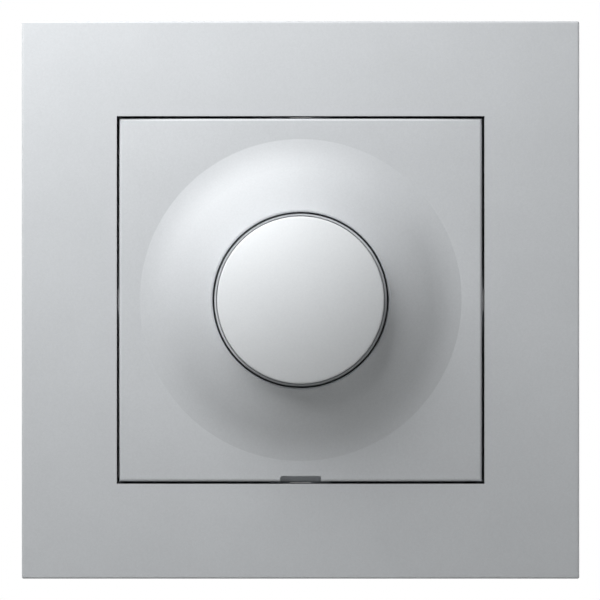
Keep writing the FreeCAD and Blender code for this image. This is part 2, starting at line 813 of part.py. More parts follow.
def knob_clip():
    clip = Piece("knob_clip")
    outer = "hub_radius + clip_wall"
    clip.pad("front", "hub_back + clip_setback", "clip_height", circle("0", "0", outer),
             circle("0", "0", "hub_radius"))
    clip.cut("front", "hub_back", f"clip_setback + clip_height + {OVERRUN}",
             rectangle("0", "-hub_slot", f"{outer} + {OVERRUN}", "hub_slot"))


def spindle():
    shaft = Piece("spindle")
    shaft.pad("front", "spindle_back", "spindle_front - spindle_back", circle("0", "0", "spindle_radius"))
    low, high = "spindle_flat", f"spindle_radius + {OVERRUN}"
    for start, end in (("hub_back - spindle_flat_lead", "spindle_front"), ("spindle_back", "lid_back")):
        shaft.cut("front", start, f"{end} - ({start})", rectangle(negated(high), low, high, high))
    shaft.dress("Chamfer", "shaft_lead", at_level("spindle_front"))


def nut(name, start, height, radius):
    """A hexagon nut that stands on a flat."""
    piece = Piece(name)
    half = "nut_flats / 2"
    corner = f"{half} / cos(30)"
    edge = f"{half} * tan(30)"
    piece.pad("front", start, height, outline(
        (half, negated(edge)), (half, edge), ("0", corner), (negated(half), edge),
        (negated(half), negated(edge)), ("0", negated(corner))), circle("0", "0", radius))


def lock_washer():
    washer = Piece("lock_washer")
    washer.pad("front", "ring_front", "washer_gauge", circle("0", "0", "washer_radius"),
               circle("0", "0", "bush_radius + bush_hole_gap"))
    angles = [step * 360 / WASHER_NOTCHES for step in range(WASHER_NOTCHES)]
    washer.cut("front", "ring_front", "washer_gauge", *[circle(
        f"washer_radius * cos({angle})", f"washer_radius * sin({angle})", "washer_notch_radius")
        for angle in angles])


def support_ring():
    ring = Piece("support_ring")
    ring.pad("front", "0", "ring_gauge", square("ring_half"))
    half = value("ring_half")
    ring.dress("Fillet", "ring_corner", lambda edge: runs_forward(edge) and away(edge) > half * CORNER_REACH)
    ring.cut("front", "0", "ring_gauge", circle("0", "0", "bush_radius + bush_hole_gap"))
    for way in ("", "-"):
        place = f"{way}(box_screw_spacing / 2)"
        ring.cut("front", "0", "ring_gauge", slot(place, "0", "box_slot_length", "box_slot_radius"))
        ring.cut("front", "0", "ring_gauge", slot("0", place, "box_slot_length", "box_slot_radius", False))
        ring.cut("front", "0", "ring_gauge", circle(
            f"{negated(way + 'housing_screw_aside')}", f"{way}housing_screw_up", "housing_screw_radius"))
    ring.cut("front", "0", "ring_gauge", circle("trimmer_aside", "trimmer_up", "trimmer_hole"))
    for side in ("", "-"):
        middle = f"{side}claw_offset"
        ring.cut("front", "0", "ring_gauge", circle(
            f"{side}claw_screw_place", middle, "claw_screw_radius + 2 * screw_gap"))
        for way in ("", "-"):
            inner, outer = f"{middle} + {way}(ear_inner)", f"{middle} + {way}(ear_outer)"
            ear = [f"{side}(claw_pivot_place + ear_width / 2)", f"{side}(claw_pivot_place - ear_width / 2)"]
            low, high = (ear[1], ear[0])
            bottom = inner if way == "" else outer
            ring.pad("side", low if side == "" else high, "ear_width", rectangle(
                "-ear_length", bottom, "ring_gauge / 2", f"{bottom} + ring_gauge"))
            window = f"{middle} + {way}(ear_outer + ear_length / 2)"
            ring.cut("front", "0", "ring_gauge", centred(
                f"{side}claw_pivot_place", window, "ear_width / 2", "ear_length / 2"))
        ring.cut("top", f"{middle} - (ear_outer)", "2 * ear_outer", circle(
            f"{side}claw_pivot_place", "-claw_pivot_depth", "claw_pin_radius + claw_pin_gap"))


def claw_parts():
    """The two spreading claws with their pivot pins and screws."""
    pins = Piece("claw_pins")
    for name, side in (("right", ""), ("left", "-")):
        middle = f"{side}claw_offset"
        low = f"{middle} - claw_half"
        pivot = ("claw_pivot_place", "-claw_pivot_depth")
        claw = Piece(f"claw_{name}")
        arm_tip = "-claw_pivot_depth - claw_reach"
        inner, outer = "claw_pivot_place - claw_gauge / 2", "claw_pivot_place + claw_gauge / 2"
        tab_low, tab_high = "-claw_pivot_depth - claw_gauge / 2", "-claw_pivot_depth + claw_gauge / 2"
        tab_end = "claw_window_end + claw_tab_end"

        def sided(a):
            return f"{side}({a})"

        claw.pad("top", low, "claw_width", outline(
            (sided(inner), tab_high), (sided(inner), arm_tip), (sided(f"{outer} + claw_tooth"), arm_tip),
            (sided(f"{outer} + claw_tooth"), f"{arm_tip} + claw_tooth_land"),
            (sided(outer), f"{arm_tip} + claw_gauge"), (sided(outer), tab_low), (sided(tab_end), tab_low),
            (sided(tab_end), tab_high)))
        claw.pad("top", low, "claw_width", circle(sided(pivot[0]), pivot[1], "claw_knuckle_radius"))
        claw.cut("top", low, "claw_width", circle(
            sided(pivot[0]), pivot[1], "claw_pin_radius + claw_pin_gap * 2"))
        claw.cut("front", f"{tab_low} - claw_knuckle_radius", "claw_knuckle_radius * 3", centred(
            sided(f"({outer} + claw_window_end) / 2"), middle,
            f"(claw_window_end - ({outer})) / 2", "claw_screw_radius + claw_window_gap"))
        claw.cut("front", arm_tip, "claw_gauge", *[centred(
            sided(f"{outer} + claw_tooth"), f"{middle} + {step} * claw_notch_pitch",
            "claw_notch_depth", "claw_notch_width / 2") for step in ROW_OF_THREE])
        pins.pad("top", f"{middle} - (ear_outer) - claw_pin_end", "2 * (ear_outer + claw_pin_end)",
                 circle(sided(pivot[0]), pivot[1], "claw_pin_radius"))

        screw = Piece(f"claw_screw_{name}")
        start = "ring_front + contact_gap"
        head_front = f"{start} + claw_head_height"
        screw.turn(
            ("-claw_screw_tip", "0"), ("-claw_screw_tip", "claw_screw_radius - shaft_lead"),
            ("-claw_screw_tip + shaft_lead", "claw_screw_radius"), (start, "claw_screw_radius"),
            (start, "claw_screw_head"), (f"{head_front} - head_chamfer", "claw_screw_head"),
            (head_front, "claw_screw_head - head_chamfer"), (head_front, "0"),
            across=f"{side}claw_screw_place", up=middle)
        screw.cut("front", f"{head_front} - driver_slot_depth", "driver_slot_depth", centred(
            f"{side}claw_screw_place", middle, f"claw_screw_head + {OVERRUN}", "driver_slot / 2"))


def sink_holes(piece, start, length):
    """The openings that ring, sink and lid share."""
    piece.cut("front", start, length, circle("0", "0", "bush_radius + bush_hole_gap"))
    piece.cut("front", start, length, circle("trimmer_aside", "trimmer_up", "trimmer_hole"))
    for way in ("", "-"):
        piece.cut("front", start, length, circle(
            negated(way + "housing_screw_aside"), f"{way}housing_screw_up",
            "housing_screw_radius + screw_gap"))


def heat_sink():
    sink = Piece("heat_sink")
    sink.pad("front", "sink_back", "sink_gauge", clipped(
        "housing_half_width", "housing_half_height", "housing_radius"))
    sink_holes(sink, "sink_back", "sink_gauge")
    tongue = centred("triac_aside", "tongue_offset + sink_gauge / 2", "tongue_width / 2", "sink_gauge / 2")
    sink.pad("front", "tongue_back", "tongue_reach + sink_gauge / 2", tongue)
    sink.cut("top", f"tongue_offset - {OVERRUN}", f"sink_gauge + 2 * {OVERRUN}", circle(
        "triac_aside", "triac_split + triac_tab_length / 2", "triac_screw_radius + screw_gap"))


def housing_lid():
    lid = Piece("housing_lid")
    lid.pad("front", "lid_back", "lid_thickness", clipped(
        "housing_half_width", "housing_half_height", "housing_radius"))
    sink_holes(lid, "lid_back", "lid_thickness")
    lid.cut("front", "lid_back", "lid_thickness", centred(
        "triac_aside", "tongue_offset + sink_gauge / 2", "tongue_width / 2 + tongue_gap",
        "sink_gauge / 2 + tongue_gap"))


def terminal_places():
    """The sideways places of the three terminals."""
    return [f"{step} * terminal_pitch" for step in ROW_OF_THREE]


def housing_base():
    base = Piece("housing_base")
    depth = "lid_back - base_back"
    base.pad("front", "base_back", depth, clipped(
        "housing_half_width", "housing_half_height", "housing_radius"))
    base.dress("Chamfer", "housing_edge", at_level("base_back"))
    base.cut("front", "floor_front", "lid_back - floor_front", clipped(
        "inside_half_width", "inside_half_height", "inside_radius"))
    root = "floor_front - housing_wall / 2"
    rib_top = "-board_foot - board_gap"
    for step in ROW_OF_FOUR:
        across = f"{step} * terminal_pitch"
        foot = "inside_half_height" if abs(step) < 1 else f"sqrt(inside_radius ^ 2 - ({across}) ^ 2)"
        base.pad("front", root, f"partition_front - ({root})", rectangle(
            f"{across} - partition_wall / 2", f"-({foot} + housing_wall / 2)",
            f"{across} + partition_wall / 2", rib_top))
    for way in ("", "-"):
        across, up = negated(way + "housing_screw_aside"), f"{way}housing_screw_up"
        base.pad("front", root, f"lid_back - ({root})", circle(across, up, "boss_radius"))
        base.cut("front", "base_back", depth, circle(across, up, "housing_screw_radius + screw_gap"))
        base.cut("front", "base_back", "housing_head_height + 2 * screw_gap", circle(
            across, up, "housing_head_radius + screw_gap"))
    through = f"housing_wall + 2 * {OVERRUN}"
    for across in terminal_places():
        base.cut("top", f"-housing_half_height - {OVERRUN}", through, circle(
            across, "-terminal_depth", "terminal_access"))
        base.cut("front", f"base_back - {OVERRUN}", through, centred(
            across, "wire_up", "wire_entry / 2", "wire_entry / 2"))
    base.cut("top", f"inside_half_height - {OVERRUN}", through, *[slot(
        f"{step} * vent_pitch", "(board_front + lid_back) / 2", "vent_length", "vent_width / 2", False)
        for step in ROW_OF_FOUR])
    base.cut("front", f"base_back - {OVERRUN}", through, *[slot(
        "0", f"{step} * vent_pitch", "rear_vent_length", "vent_width / 2")
        for step in range(len(ROW_OF_FOUR))])


def housing_screws():
    screws = Piece("housing_screws")
    for way in ("", "-"):
        head = "base_back + housing_head_height"
        screws.turn(
            ("base_back", "0"), ("base_back", "housing_head_radius"), (head, "housing_head_radius"),
            (head, "housing_screw_radius"), ("ring_front", "housing_screw_radius"), ("ring_front", "0"),
            across=negated(way + "housing_screw_aside"), up=f"{way}housing_screw_up")
        screws.cut("front", "base_back", "driver_slot_depth", centred(
            negated(way + "housing_screw_aside"), f"{way}housing_screw_up",
            f"housing_head_radius + {OVERRUN}", "driver_slot / 2"))


def control_bush():
    bush = Piece("control_bush")
    bore = "spindle_radius + running_gap"
    bush.turn(
        ("flange_back", bore), ("flange_back", "bush_flange_radius"), ("lid_back", "bush_flange_radius"),
        ("lid_back", "bush_radius"), ("bush_front - shaft_lead", "bush_radius"),
        ("bush_front", "bush_radius - shaft_lead"),
        ("bush_front", bore))


def control_case():
    case = Piece("control_case")
    bore = "bush_flange_radius + running_gap"
    case.turn(
        ("control_back", "track_hole"), ("control_back", "control_radius"), ("lid_back", "control_radius"),
        ("lid_back", bore), ("flange_back", bore), ("flange_back", "control_inner"),
        ("track_back", "control_inner"), ("track_back", "track_hole"))
    case.cut("front", "control_back", "track_front - control_back + tail_window_room", rectangle(
        "-pin_pitch - pin_width", "control_inner - tail_overlap",
        "pin_pitch + pin_width", f"control_radius + {OVERRUN}"))
    stop_back = "track_front + wiper_gauge"
    case.pad("front", stop_back, f"flange_back - ({stop_back})", rectangle(
        "-pin_pitch", "-control_radius + control_wall / 2", "pin_pitch", "-control_inner + stop_reach"))


def track_plate():
    plate = Piece("track_plate")
    plate.pad("front", "track_back", "track_gauge", circle("0", "0", "control_inner - track_gap"))
    tail = "pin_pitch + pin_width / 2 + tail_side"
    plate.pad("front", "track_back", "track_gauge", rectangle(
        negated(tail), "control_inner - tail_overlap", tail, "control_radius"))
    plate.cut("front", "track_back", "track_gauge", circle("0", "0", "track_hole"))


def track_pins():
    pins = Piece("track_pins")
    under = "control_radius + track_gap"
    high = f"{under} + pin_gauge"
    low = "control_radius - pin_hook"
    for step in ROW_OF_THREE:
        pins.pad("side", f"{step} * pin_pitch - pin_width / 2", "pin_width", outline(
            ("track_front + pin_gauge", low), ("track_front + pin_gauge", high),
            ("board_back - pin_gauge", high), ("board_back - pin_gauge", under),
            ("track_front", under), ("track_front", low)))


def wiper_rotor():
    rotor = Piece("wiper_rotor")
    rotor.pad("front", "rotor_back", "rotor_gauge", circle("0", "0", "rotor_radius"))
    rotor.cut("front", "rotor_back", "rotor_gauge", flatted_circle(
        "spindle_radius + running_gap", "spindle_flat + running_gap"))
    rotor.cut("front", "rotor_front - rotor_gauge / 2", "rotor_gauge / 2", circle(
        "0", "0", "rotor_radius - rotor_rim"), circle("0", "0", "spindle_radius + rotor_hub"))
    rotor.pad("front", "rotor_back", "rotor_gauge", rectangle(
        "-pin_pitch / 2", "rotor_radius - rotor_rim", "pin_pitch / 2", "rotor_radius + rotor_tab"))


def wiper_contact():
    wiper = Piece("wiper_contact")
    wiper.pad("front", "wiper_back", "wiper_gauge", circle("0", "0", "wiper_outer"), circle(
        "0", "0", "wiper_inner"))
    middle = "(wiper_outer + wiper_inner) / 2"
    finger_back = "track_front + contact_gap"
    for angle in (60, 120):
        wiper.pad("front", finger_back, f"wiper_back + wiper_gauge / 2 - ({finger_back})", circle(
            f"{middle} * cos({angle})", f"{middle} * sin({angle})", "finger_radius"))


def switch_case():
    case = Piece("switch_case")
    half, inner = "switch_side / 2", "switch_side / 2 - switch_wall"
    case.pad("front", "board_front", "switch_depth", square(half))
    case.cut("front", "board_front", "switch_depth - switch_wall", square(inner))
    case.cut("front", "board_front", "switch_depth", circle("0", "0", "spindle_radius + switch_hole_gap"))


def switch_slider():
    slider = Piece("switch_slider")
    shoulder = "slider_front - nose_length"
    slider.pad("front", "slider_back", "slider_depth", square("slider_side / 2"))
    slider.pad("front", shoulder, "nose_length", circle("0", "0", "nose_radius"))
    slider.pad("front", "bridge_back - spigot_length", "bridge_gauge + spigot_length", circle(
        "0", "0", "spigot_radius"))


def contact_bridge():
    bridge = Piece("contact_bridge")
    bridge.pad("front", "bridge_back", "bridge_gauge", centred(
        "0", "0", "bridge_half_length", "bridge_half_width"), circle("0", "0", "spigot_radius + spigot_gap"))
    for way in ("", "-"):
        bridge.pad("front", "bridge_back - bridge_gauge", "bridge_gauge", circle(
            f"{way}(bridge_half_length - button_radius)", "0", "button_radius"))


def switch_contacts():
    contacts = Piece("switch_contacts")
    front = "bridge_back - bridge_gauge - knob_travel - contact_gap"
    outer = "switch_side / 2 - switch_wall"
    for way in ("", "-"):
        def sided(a):
            return f"{way}({a})"
        contacts.pad("top", "-bridge_half_width", "bridge_half_width * 2", outline(
            (sided(outer), "board_back - bridge_gauge"), (sided(outer), front),
            (sided(f"{outer} - contact_reach"), front),
            (sided(f"{outer} - contact_reach"), f"{front} - bridge_gauge"),
            (sided(f"{outer} - bridge_gauge"), f"{front} - bridge_gauge"),
            (sided(f"{outer} - bridge_gauge"), "board_back - bridge_gauge")))


def slider_spring():
    """The return spring: wire of many narrow faces swept along a coil."""
    length = "bridge_back - board_front - 2 * spring_wire"
    coil = document.addObject("Part::Helix", "spring_coil")
    coil.setExpression("Height", linked(length))
    coil.setExpression("Pitch", linked(f"({length}) / spring_turns"))
    coil.setExpression("Radius", linked("spring_radius"))
    wire = document.addObject("Part::RegularPolygon", "spring_wire_section")
    wire.Polygon = WIRE_FACES
    wire.setExpression("Circumradius", linked("spring_wire"))
    wire.Placement = FreeCAD.Placement(
        FreeCAD.Vector(0, 0, 0), FreeCAD.Rotation(FreeCAD.Vector(1, 0, 0), 90))
    wire.setExpression("Placement.Base.x", linked("spring_radius"))
    spring = document.addObject("Part::Sweep", "slider_spring")
    spring.Label = "slider_spring"
    spring.Sections = [wire]
    spring.Spine = (coil, [])
    spring.Solid = True
    spring.Frenet = True
    spring.Placement = FreeCAD.Placement(
        FreeCAD.Vector(0, 0, 0), FreeCAD.Rotation(FreeCAD.Vector(1, 0, 0), 90))
    spring.setExpression("Placement.Base.y", linked("-(board_front) - spring_wire"))
    NODES.append(spring)


def lead_places():
    """Where round leads pass through the board, as (across, up)."""
    places = []
    for across, up, _, pitch in CAPACITOR_PLACES.values():
        places += [(across, f"{up} {way} {pitch} / 2") for way in "+-"]
    for spots, up, length in LYING_PLACES.values():
        reach = f"(({length}) / 2 + lead_bend)"
        places += [(across, f"{up} {way} {reach}") for across in spots for way in "+-"]
    return places


def circuit_board():
    board = Piece("circuit_board")
    side = "sqrt((board_radius) ^ 2 - (board_half_width) ^ 2)"
    top = "sqrt((board_radius) ^ 2 - (board_head) ^ 2)"
    board.pad("front", "board_back", "board_gauge", outline(
        ("-board_half_width", "-board_foot"), ("board_half_width", "-board_foot"),
        ("board_half_width", side, "board_radius", True), (top, "board_head"),
        (negated(top), "board_head", "board_radius", True), ("-board_half_width", side)))
    contact = "switch_side / 2 - switch_wall - bridge_gauge / 2"
    openings = []
    for way in ("", "-"):
        openings.append(circle(
            negated(way + "housing_screw_aside"), f"{way}housing_screw_up", "boss_radius + board_gap"))
        openings.append(centred(f"{way}({contact})", "0", "bridge_gauge", "bridge_half_width + lead_gap"))
    for across in terminal_places():
        openings.append(centred(
            across, "(leg_top + leg_bottom) / 2", "bar_width / 2 + bar_slot_gap",
            "bar_gauge / 2 + bar_slot_gap"))
    for across, up in lead_places():
        openings.append(circle(across, up, "lead_radius + lead_gap"))
    for step in ROW_OF_THREE:
        openings.append(centred(
            f"{step} * pin_pitch", "control_radius + track_gap + pin_gauge / 2",
            "pin_width / 2 + pin_slot_gap", "pin_gauge / 2 + pin_slot_gap"))
        openings.append(circle(
            f"triac_aside + {step} * triac_lead_pitch", "triac_face - triac_body_gauge / 2",
            "triac_lead_hole"))
    board.cut("front", "board_back", "board_gauge", *openings)


def choke():
    """The ring core of the choke and its winding, which is a bobbin of round turns."""
    start = "board_front + choke_wire"
    core = Piece("choke_core")
    core.pad("front", start, "choke_core_height", circle("-choke_aside", "choke_up", "choke_core_outer"),
             circle("-choke_aside", "choke_up", "choke_core_inner"))
    winding = Piece("choke_winding")
    wind_out = "choke_core_outer + choke_wire + choke_wire_gap"
    wind_in = "choke_core_inner - choke_wire - choke_wire_gap"
    for step in range(CHOKE_TURNS):
        angle = step * 360 / CHOKE_TURNS
        corners = (
            (wind_in, "-choke_wire / 2"), (wind_out, "-choke_wire / 2"), (wind_out, "choke_wire / 2"),
            (wind_in, "choke_wire / 2"))
        spun = [(f"-choke_aside + ({out}) * cos({angle}) - ({side}) * sin({angle})",
                 f"choke_up + ({out}) * sin({angle}) + ({side}) * cos({angle})") for out, side in corners]
        winding.pad("front", "board_front", "choke_core_height + 2 * choke_wire", outline(*spun))
    winding.cut("front", f"{start} - choke_slack", "choke_core_height + 2 * choke_slack", circle(
        "-choke_aside", "choke_up", "choke_core_outer + choke_slack"), circle(
        "-choke_aside", "choke_up", "choke_core_inner - choke_slack"))


def triac_parts():
    """The triac, the pad that insulates it and the screw that holds it to the tongue."""
    half = "triac_width / 2"
    triac = Piece("triac")
    triac.pad("front", "triac_body_back", "triac_body_length + triac_tab_length", rectangle(
        f"triac_aside - {half}", "triac_face - triac_tab_gauge", f"triac_aside + {half}", "triac_face"))
    triac.pad("front", "triac_body_back", "triac_body_length", rectangle(
        f"triac_aside - {half}", "triac_face - triac_body_gauge", f"triac_aside + {half}",
        "triac_face - triac_tab_gauge / 2"))
    leads_back = "board_back - lead_overrun"
    for step in ROW_OF_THREE:
        triac.pad("front", leads_back, f"triac_body_back + part_edge - ({leads_back})", centred(
            f"triac_aside + {step} * triac_lead_pitch", "triac_face - triac_body_gauge / 2",
            "triac_lead_width / 2", "triac_lead_gauge / 2"))
    hole_level = "triac_split + triac_tab_length / 2"
    triac.cut("top", f"triac_face - triac_tab_gauge - {OVERRUN}", f"triac_tab_gauge + 2 * {OVERRUN}", circle(
        "triac_aside", hole_level, "triac_screw_radius + 2 * screw_gap"))
    pad = Piece("triac_pad")
    half_pad = f"{half} + pad_margin"
    pad_back = "tongue_back + pad_setback"
    pad.pad("front", pad_back, f"triac_tab_front + pad_margin - ({pad_back})", rectangle(
        f"triac_aside - ({half_pad})", "triac_face", f"triac_aside + {half_pad}", "tongue_offset"))
    pad.cut("top", f"triac_face - {OVERRUN}", f"pad_gauge + 2 * {OVERRUN}", circle(
        "triac_aside", hole_level, "triac_screw_radius + screw_gap"))
    screw = Piece("triac_screw")
    head = "triac_face - triac_tab_gauge"
    tip = "tongue_offset + sink_gauge + triac_screw_end"
    screw.turn_up(
        ("0", f"{head} - triac_head_height"), ("triac_head_radius", f"{head} - triac_head_height"),
        ("triac_head_radius", head), ("triac_screw_radius", head), ("triac_screw_radius", tip), ("0", tip),
        across="triac_aside", level=hole_level)


def box_part(name, half_across, height):
    """A moulded block that stands on the board on two wires."""
    across, up, length, pitch = CAPACITOR_PLACES[name]
    part = Piece(name)
    part.pad("front", "board_front", height, centred(across, up, half_across, f"{length} / 2"))
    part.dress("Fillet", "part_edge", lambda edge: runs_forward(edge)
               or at_level(f"board_front + {height}")(edge))
    for way in "+-":
        part.pad("front", "board_back - lead_overrun", "board_gauge + lead_overrun + part_edge", circle(
            across, f"{up} {way} {pitch} / 2", "lead_radius"))


def lying_parts(name, radius):
    """Round parts that lie along the board between two bent wires."""
    places, up, length = LYING_PLACES[name]
    group = Piece(name)
    middle = f"board_front + {radius} + lead_gap"
    reach = f"({length} / 2 + lead_bend)"
    leads_back = "board_back - lead_overrun"
    for across in places:
        group.pad("top", f"{up} - {length} / 2", length, circle(across, middle, radius))
        group.pad("top", f"{up} - {reach}", f"2 * {reach}", circle(across, middle, "axial_lead_radius"))
        for way in "+-":
            group.pad("front", leads_back, f"{middle} + lead_radius - ({leads_back})", circle(
                across, f"{up} {way} {reach}", "lead_radius"))


def board_parts():
    """The small parts of the circuit board."""
    box_part("noise_capacitor", "noise_width / 2", "noise_height")
    box_part("timing_capacitor", "timing_width / 2", "timing_height")
    lying_parts("resistors", "resistor_radius")
    lying_parts("diac", "diac_radius")


def trimmer():
    body = Piece("trimmer_body")
    body.pad("front", "board_front", "trimmer_depth", centred(
        "trimmer_aside", "trimmer_up", "trimmer_radius", "trimmer_radius"))
    body.cut("front", "trimmer_seat - dial_seat", "dial_seat", circle(
        "trimmer_aside", "trimmer_up", "trimmer_dial_radius + dial_gap"))
    dial = Piece("trimmer_screw")
    dial_back = "trimmer_seat - dial_seat + dial_gap"
    dial.pad("front", dial_back, f"dial_front - ({dial_back})", circle(
        "trimmer_aside", "trimmer_up", "trimmer_dial_radius"))
    dial.cut("front", "dial_front - driver_slot_depth", "driver_slot_depth", centred(
        "trimmer_aside", "trimmer_up", f"trimmer_dial_radius + {OVERRUN}", "driver_slot / 2"))


def terminals():
    """Three lifting cages, each with its screw, and the bars that they clamp wires to."""
    bars = Piece("contact_bars")
    half_length, half_width = "cage_length / 2", "cage_width / 2"
    cage_back = f"-terminal_depth - {half_length}"
    back = f"{cage_back} - bar_tail"
    turn = f"-terminal_depth + {half_length} + bar_turn_gap"
    leg_end = "board_back - bar_leg_end"
    for number, across in enumerate(terminal_places(), start=1):
        bars.pad("side", f"{across} - bar_width / 2", "bar_width", outline(
            (back, "bar_face"), (f"{turn} + bar_gauge", "bar_face"), (f"{turn} + bar_gauge", "leg_top"),
            (leg_end, "leg_top"), (leg_end, "leg_bottom"), (turn, "leg_bottom"), (turn, "bar_top"),
            (back, "bar_top")))
        cage = Piece(f"terminal_cage_{number}")
        cage.pad("front", cage_back, "cage_length", rectangle(
            f"{across} - {half_width}", "cage_nut_bottom", f"{across} + {half_width}", "cage_top"))
        cage.cut("front", cage_back, "cage_length", rectangle(
            f"{across} - {half_width} + cage_wall", "cage_nut_top",
            f"{across} + {half_width} - cage_wall", "cage_top - cage_wall"))
        cage.cut("top", "cage_nut_bottom", "cage_nut_wall", circle(
            across, "-terminal_depth", "terminal_screw_radius + terminal_gap"))
        screw = Piece(f"terminal_screw_{number}")
        screw.turn_up(
            ("0", "head_bottom"), ("terminal_head_radius - terminal_screw_edge", "head_bottom"),
            ("terminal_head_radius", "head_bottom + terminal_screw_edge"),
            ("terminal_head_radius", "head_top"), ("terminal_screw_radius", "head_top"),
            ("terminal_screw_radius", "screw_tip - shaft_lead"),
            ("terminal_screw_radius - shaft_lead", "screw_tip"), ("0", "screw_tip"),
            across=across, level="-terminal_depth")
        screw.cut("top", "head_bottom", "driver_slot_depth", centred(
            across, "-terminal_depth", f"terminal_head_radius + {OVERRUN}", "driver_slot / 2"))


def check_everything():
    """Stop if any object failed or any piece has no sound shape."""
    document.recompute()
    for item in document.Objects:
        if "Invalid" in item.State or "Error" in item.State:
            raise RuntimeError(f"{item.Label}: {item.State}")
    for node in NODES:
        if node.Shape.isNull() or not node.Shape.isValid():
            raise RuntimeError(f"{node.Label}: unsound shape")


cover_frame()
centre_plate()
rotary_knob()
knob_clip()
spindle()
nut("plate_nut", "well_floor_front", "plate_nut_height", "bush_radius")
nut("control_nut", "washer_front", "control_nut_height", "bush_radius")
lock_washer()
support_ring()
claw_parts()
heat_sink()
housing_lid()
housing_base()
housing_screws()
control_bush()
control_case()
track_plate()
track_pins()
wiper_rotor()
wiper_contact()
switch_case()
switch_slider()
contact_bridge()
switch_contacts()
slider_spring()
circuit_board()
choke()
triac_parts()
board_parts()
trimmer()
terminals()
check_everything()

os.makedirs("parts", exist_ok=True)
for node in NODES:
    node.Shape.exportStep(os.path.join("parts", f"{node.Label}.step"))
    print(f"{node.Label}: {len(node.Shape.Solids)} solids, {node.Shape.Volume:.1f} mm3")
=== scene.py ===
"""Finishes, fine pieces, light and camera for the rotary dimmer switch.

Lengths in the classes are in millimetres and Blender's are in metres.  +Z is
up and the front faces -Y, as in the model that the frame holds.
"""
from __future__ import annotations

import json
import logging
import math
from dataclasses import dataclass, field
from enum import Enum
from typing import Any

import bmesh
import bpy
from mathutils import Matrix, Vector

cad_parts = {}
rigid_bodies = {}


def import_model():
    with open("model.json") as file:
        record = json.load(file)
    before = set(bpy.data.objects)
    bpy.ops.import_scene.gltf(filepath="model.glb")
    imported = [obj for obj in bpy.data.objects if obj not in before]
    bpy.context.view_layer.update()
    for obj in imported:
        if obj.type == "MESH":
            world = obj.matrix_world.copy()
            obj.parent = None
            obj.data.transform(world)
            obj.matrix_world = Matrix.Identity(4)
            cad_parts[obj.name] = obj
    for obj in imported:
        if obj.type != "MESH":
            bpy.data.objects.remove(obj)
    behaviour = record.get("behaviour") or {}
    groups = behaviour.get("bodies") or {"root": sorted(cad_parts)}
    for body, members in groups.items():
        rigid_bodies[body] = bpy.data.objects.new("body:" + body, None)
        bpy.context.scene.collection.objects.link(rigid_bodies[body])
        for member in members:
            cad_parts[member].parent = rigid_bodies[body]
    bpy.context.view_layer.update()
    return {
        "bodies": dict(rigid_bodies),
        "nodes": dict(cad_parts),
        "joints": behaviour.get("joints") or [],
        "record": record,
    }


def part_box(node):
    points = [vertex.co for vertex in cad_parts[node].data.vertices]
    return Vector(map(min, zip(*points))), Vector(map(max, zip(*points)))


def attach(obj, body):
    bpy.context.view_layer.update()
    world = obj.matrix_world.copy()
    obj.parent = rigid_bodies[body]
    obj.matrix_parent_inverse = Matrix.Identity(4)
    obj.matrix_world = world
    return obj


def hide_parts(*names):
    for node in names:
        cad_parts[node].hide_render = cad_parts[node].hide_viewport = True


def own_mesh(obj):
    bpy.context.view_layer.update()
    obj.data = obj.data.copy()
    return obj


LOG = logging.getLogger("dimmer")
MM = 0.001

Socket = bpy.types.NodeSocket
Tree = bpy.types.NodeTree
Colour = tuple[float, float, float, float]
Place = tuple[float, float, float]

WHITE: Colour = (1.0, 1.0, 1.0, 1.0)
# A pattern's scale along rolling lines or fibres, as a share of its scale across them
DRAWN_OUT = 0.03
# The Mix node's sockets for colours, whose names those for other data share
MIX_FIRST, MIX_SECOND, MIX_RESULT = 6, 7, 2


def srgb(code: str) -> Colour:
    """Turn an sRGB hex code into a linear colour.

    Args:
        code: Six hex digits with a leading sign, such as #c0c4c6.

    Returns:
        Linear red, green and blue, with an alpha of 1.
    """
    channels = [int(code[place:place + 2], 16) / 255 for place in (1, 3, 5)]
    linear = [c / 12.92 if c <= 0.04045 else ((c + 0.055) / 1.055) ** 2.4 for c in channels]
    return linear[0], linear[1], linear[2], 1.0


def add_node(tree: Tree, kind: str, sockets: dict[Any, Any] | None = None,
             **settings: Any) -> bpy.types.Node:
    """Add a node with its settings, values and links.

    Args:
        tree: The node tree that gets the node.
        kind: The node's type name, without the leading ShaderNode.
        sockets: Input names or numbers, each with a value or an output to link.
        settings: The node's own properties.

    Returns:
        The new node.
    """
    node = tree.nodes.new(f"ShaderNode{kind}")
    for name, setting in settings.items():
        setattr(node, name, setting)
    for name, content in (sockets or {}).items():
        if isinstance(content, bpy.types.NodeSocket):
            tree.links.new(content, node.inputs[name])
        else:
            node.inputs[name].default_value = content
    return node


class Grain(Enum):
    """Which way a pattern is drawn out, as scales across, forward and up."""

    EVEN = (1.0, 1.0, 1.0)
    ACROSS = (DRAWN_OUT, 1.0, 1.0)
    FORWARD = (1.0, DRAWN_OUT, 1.0)
    UPRIGHT = (1.0, 1.0, DRAWN_OUT)


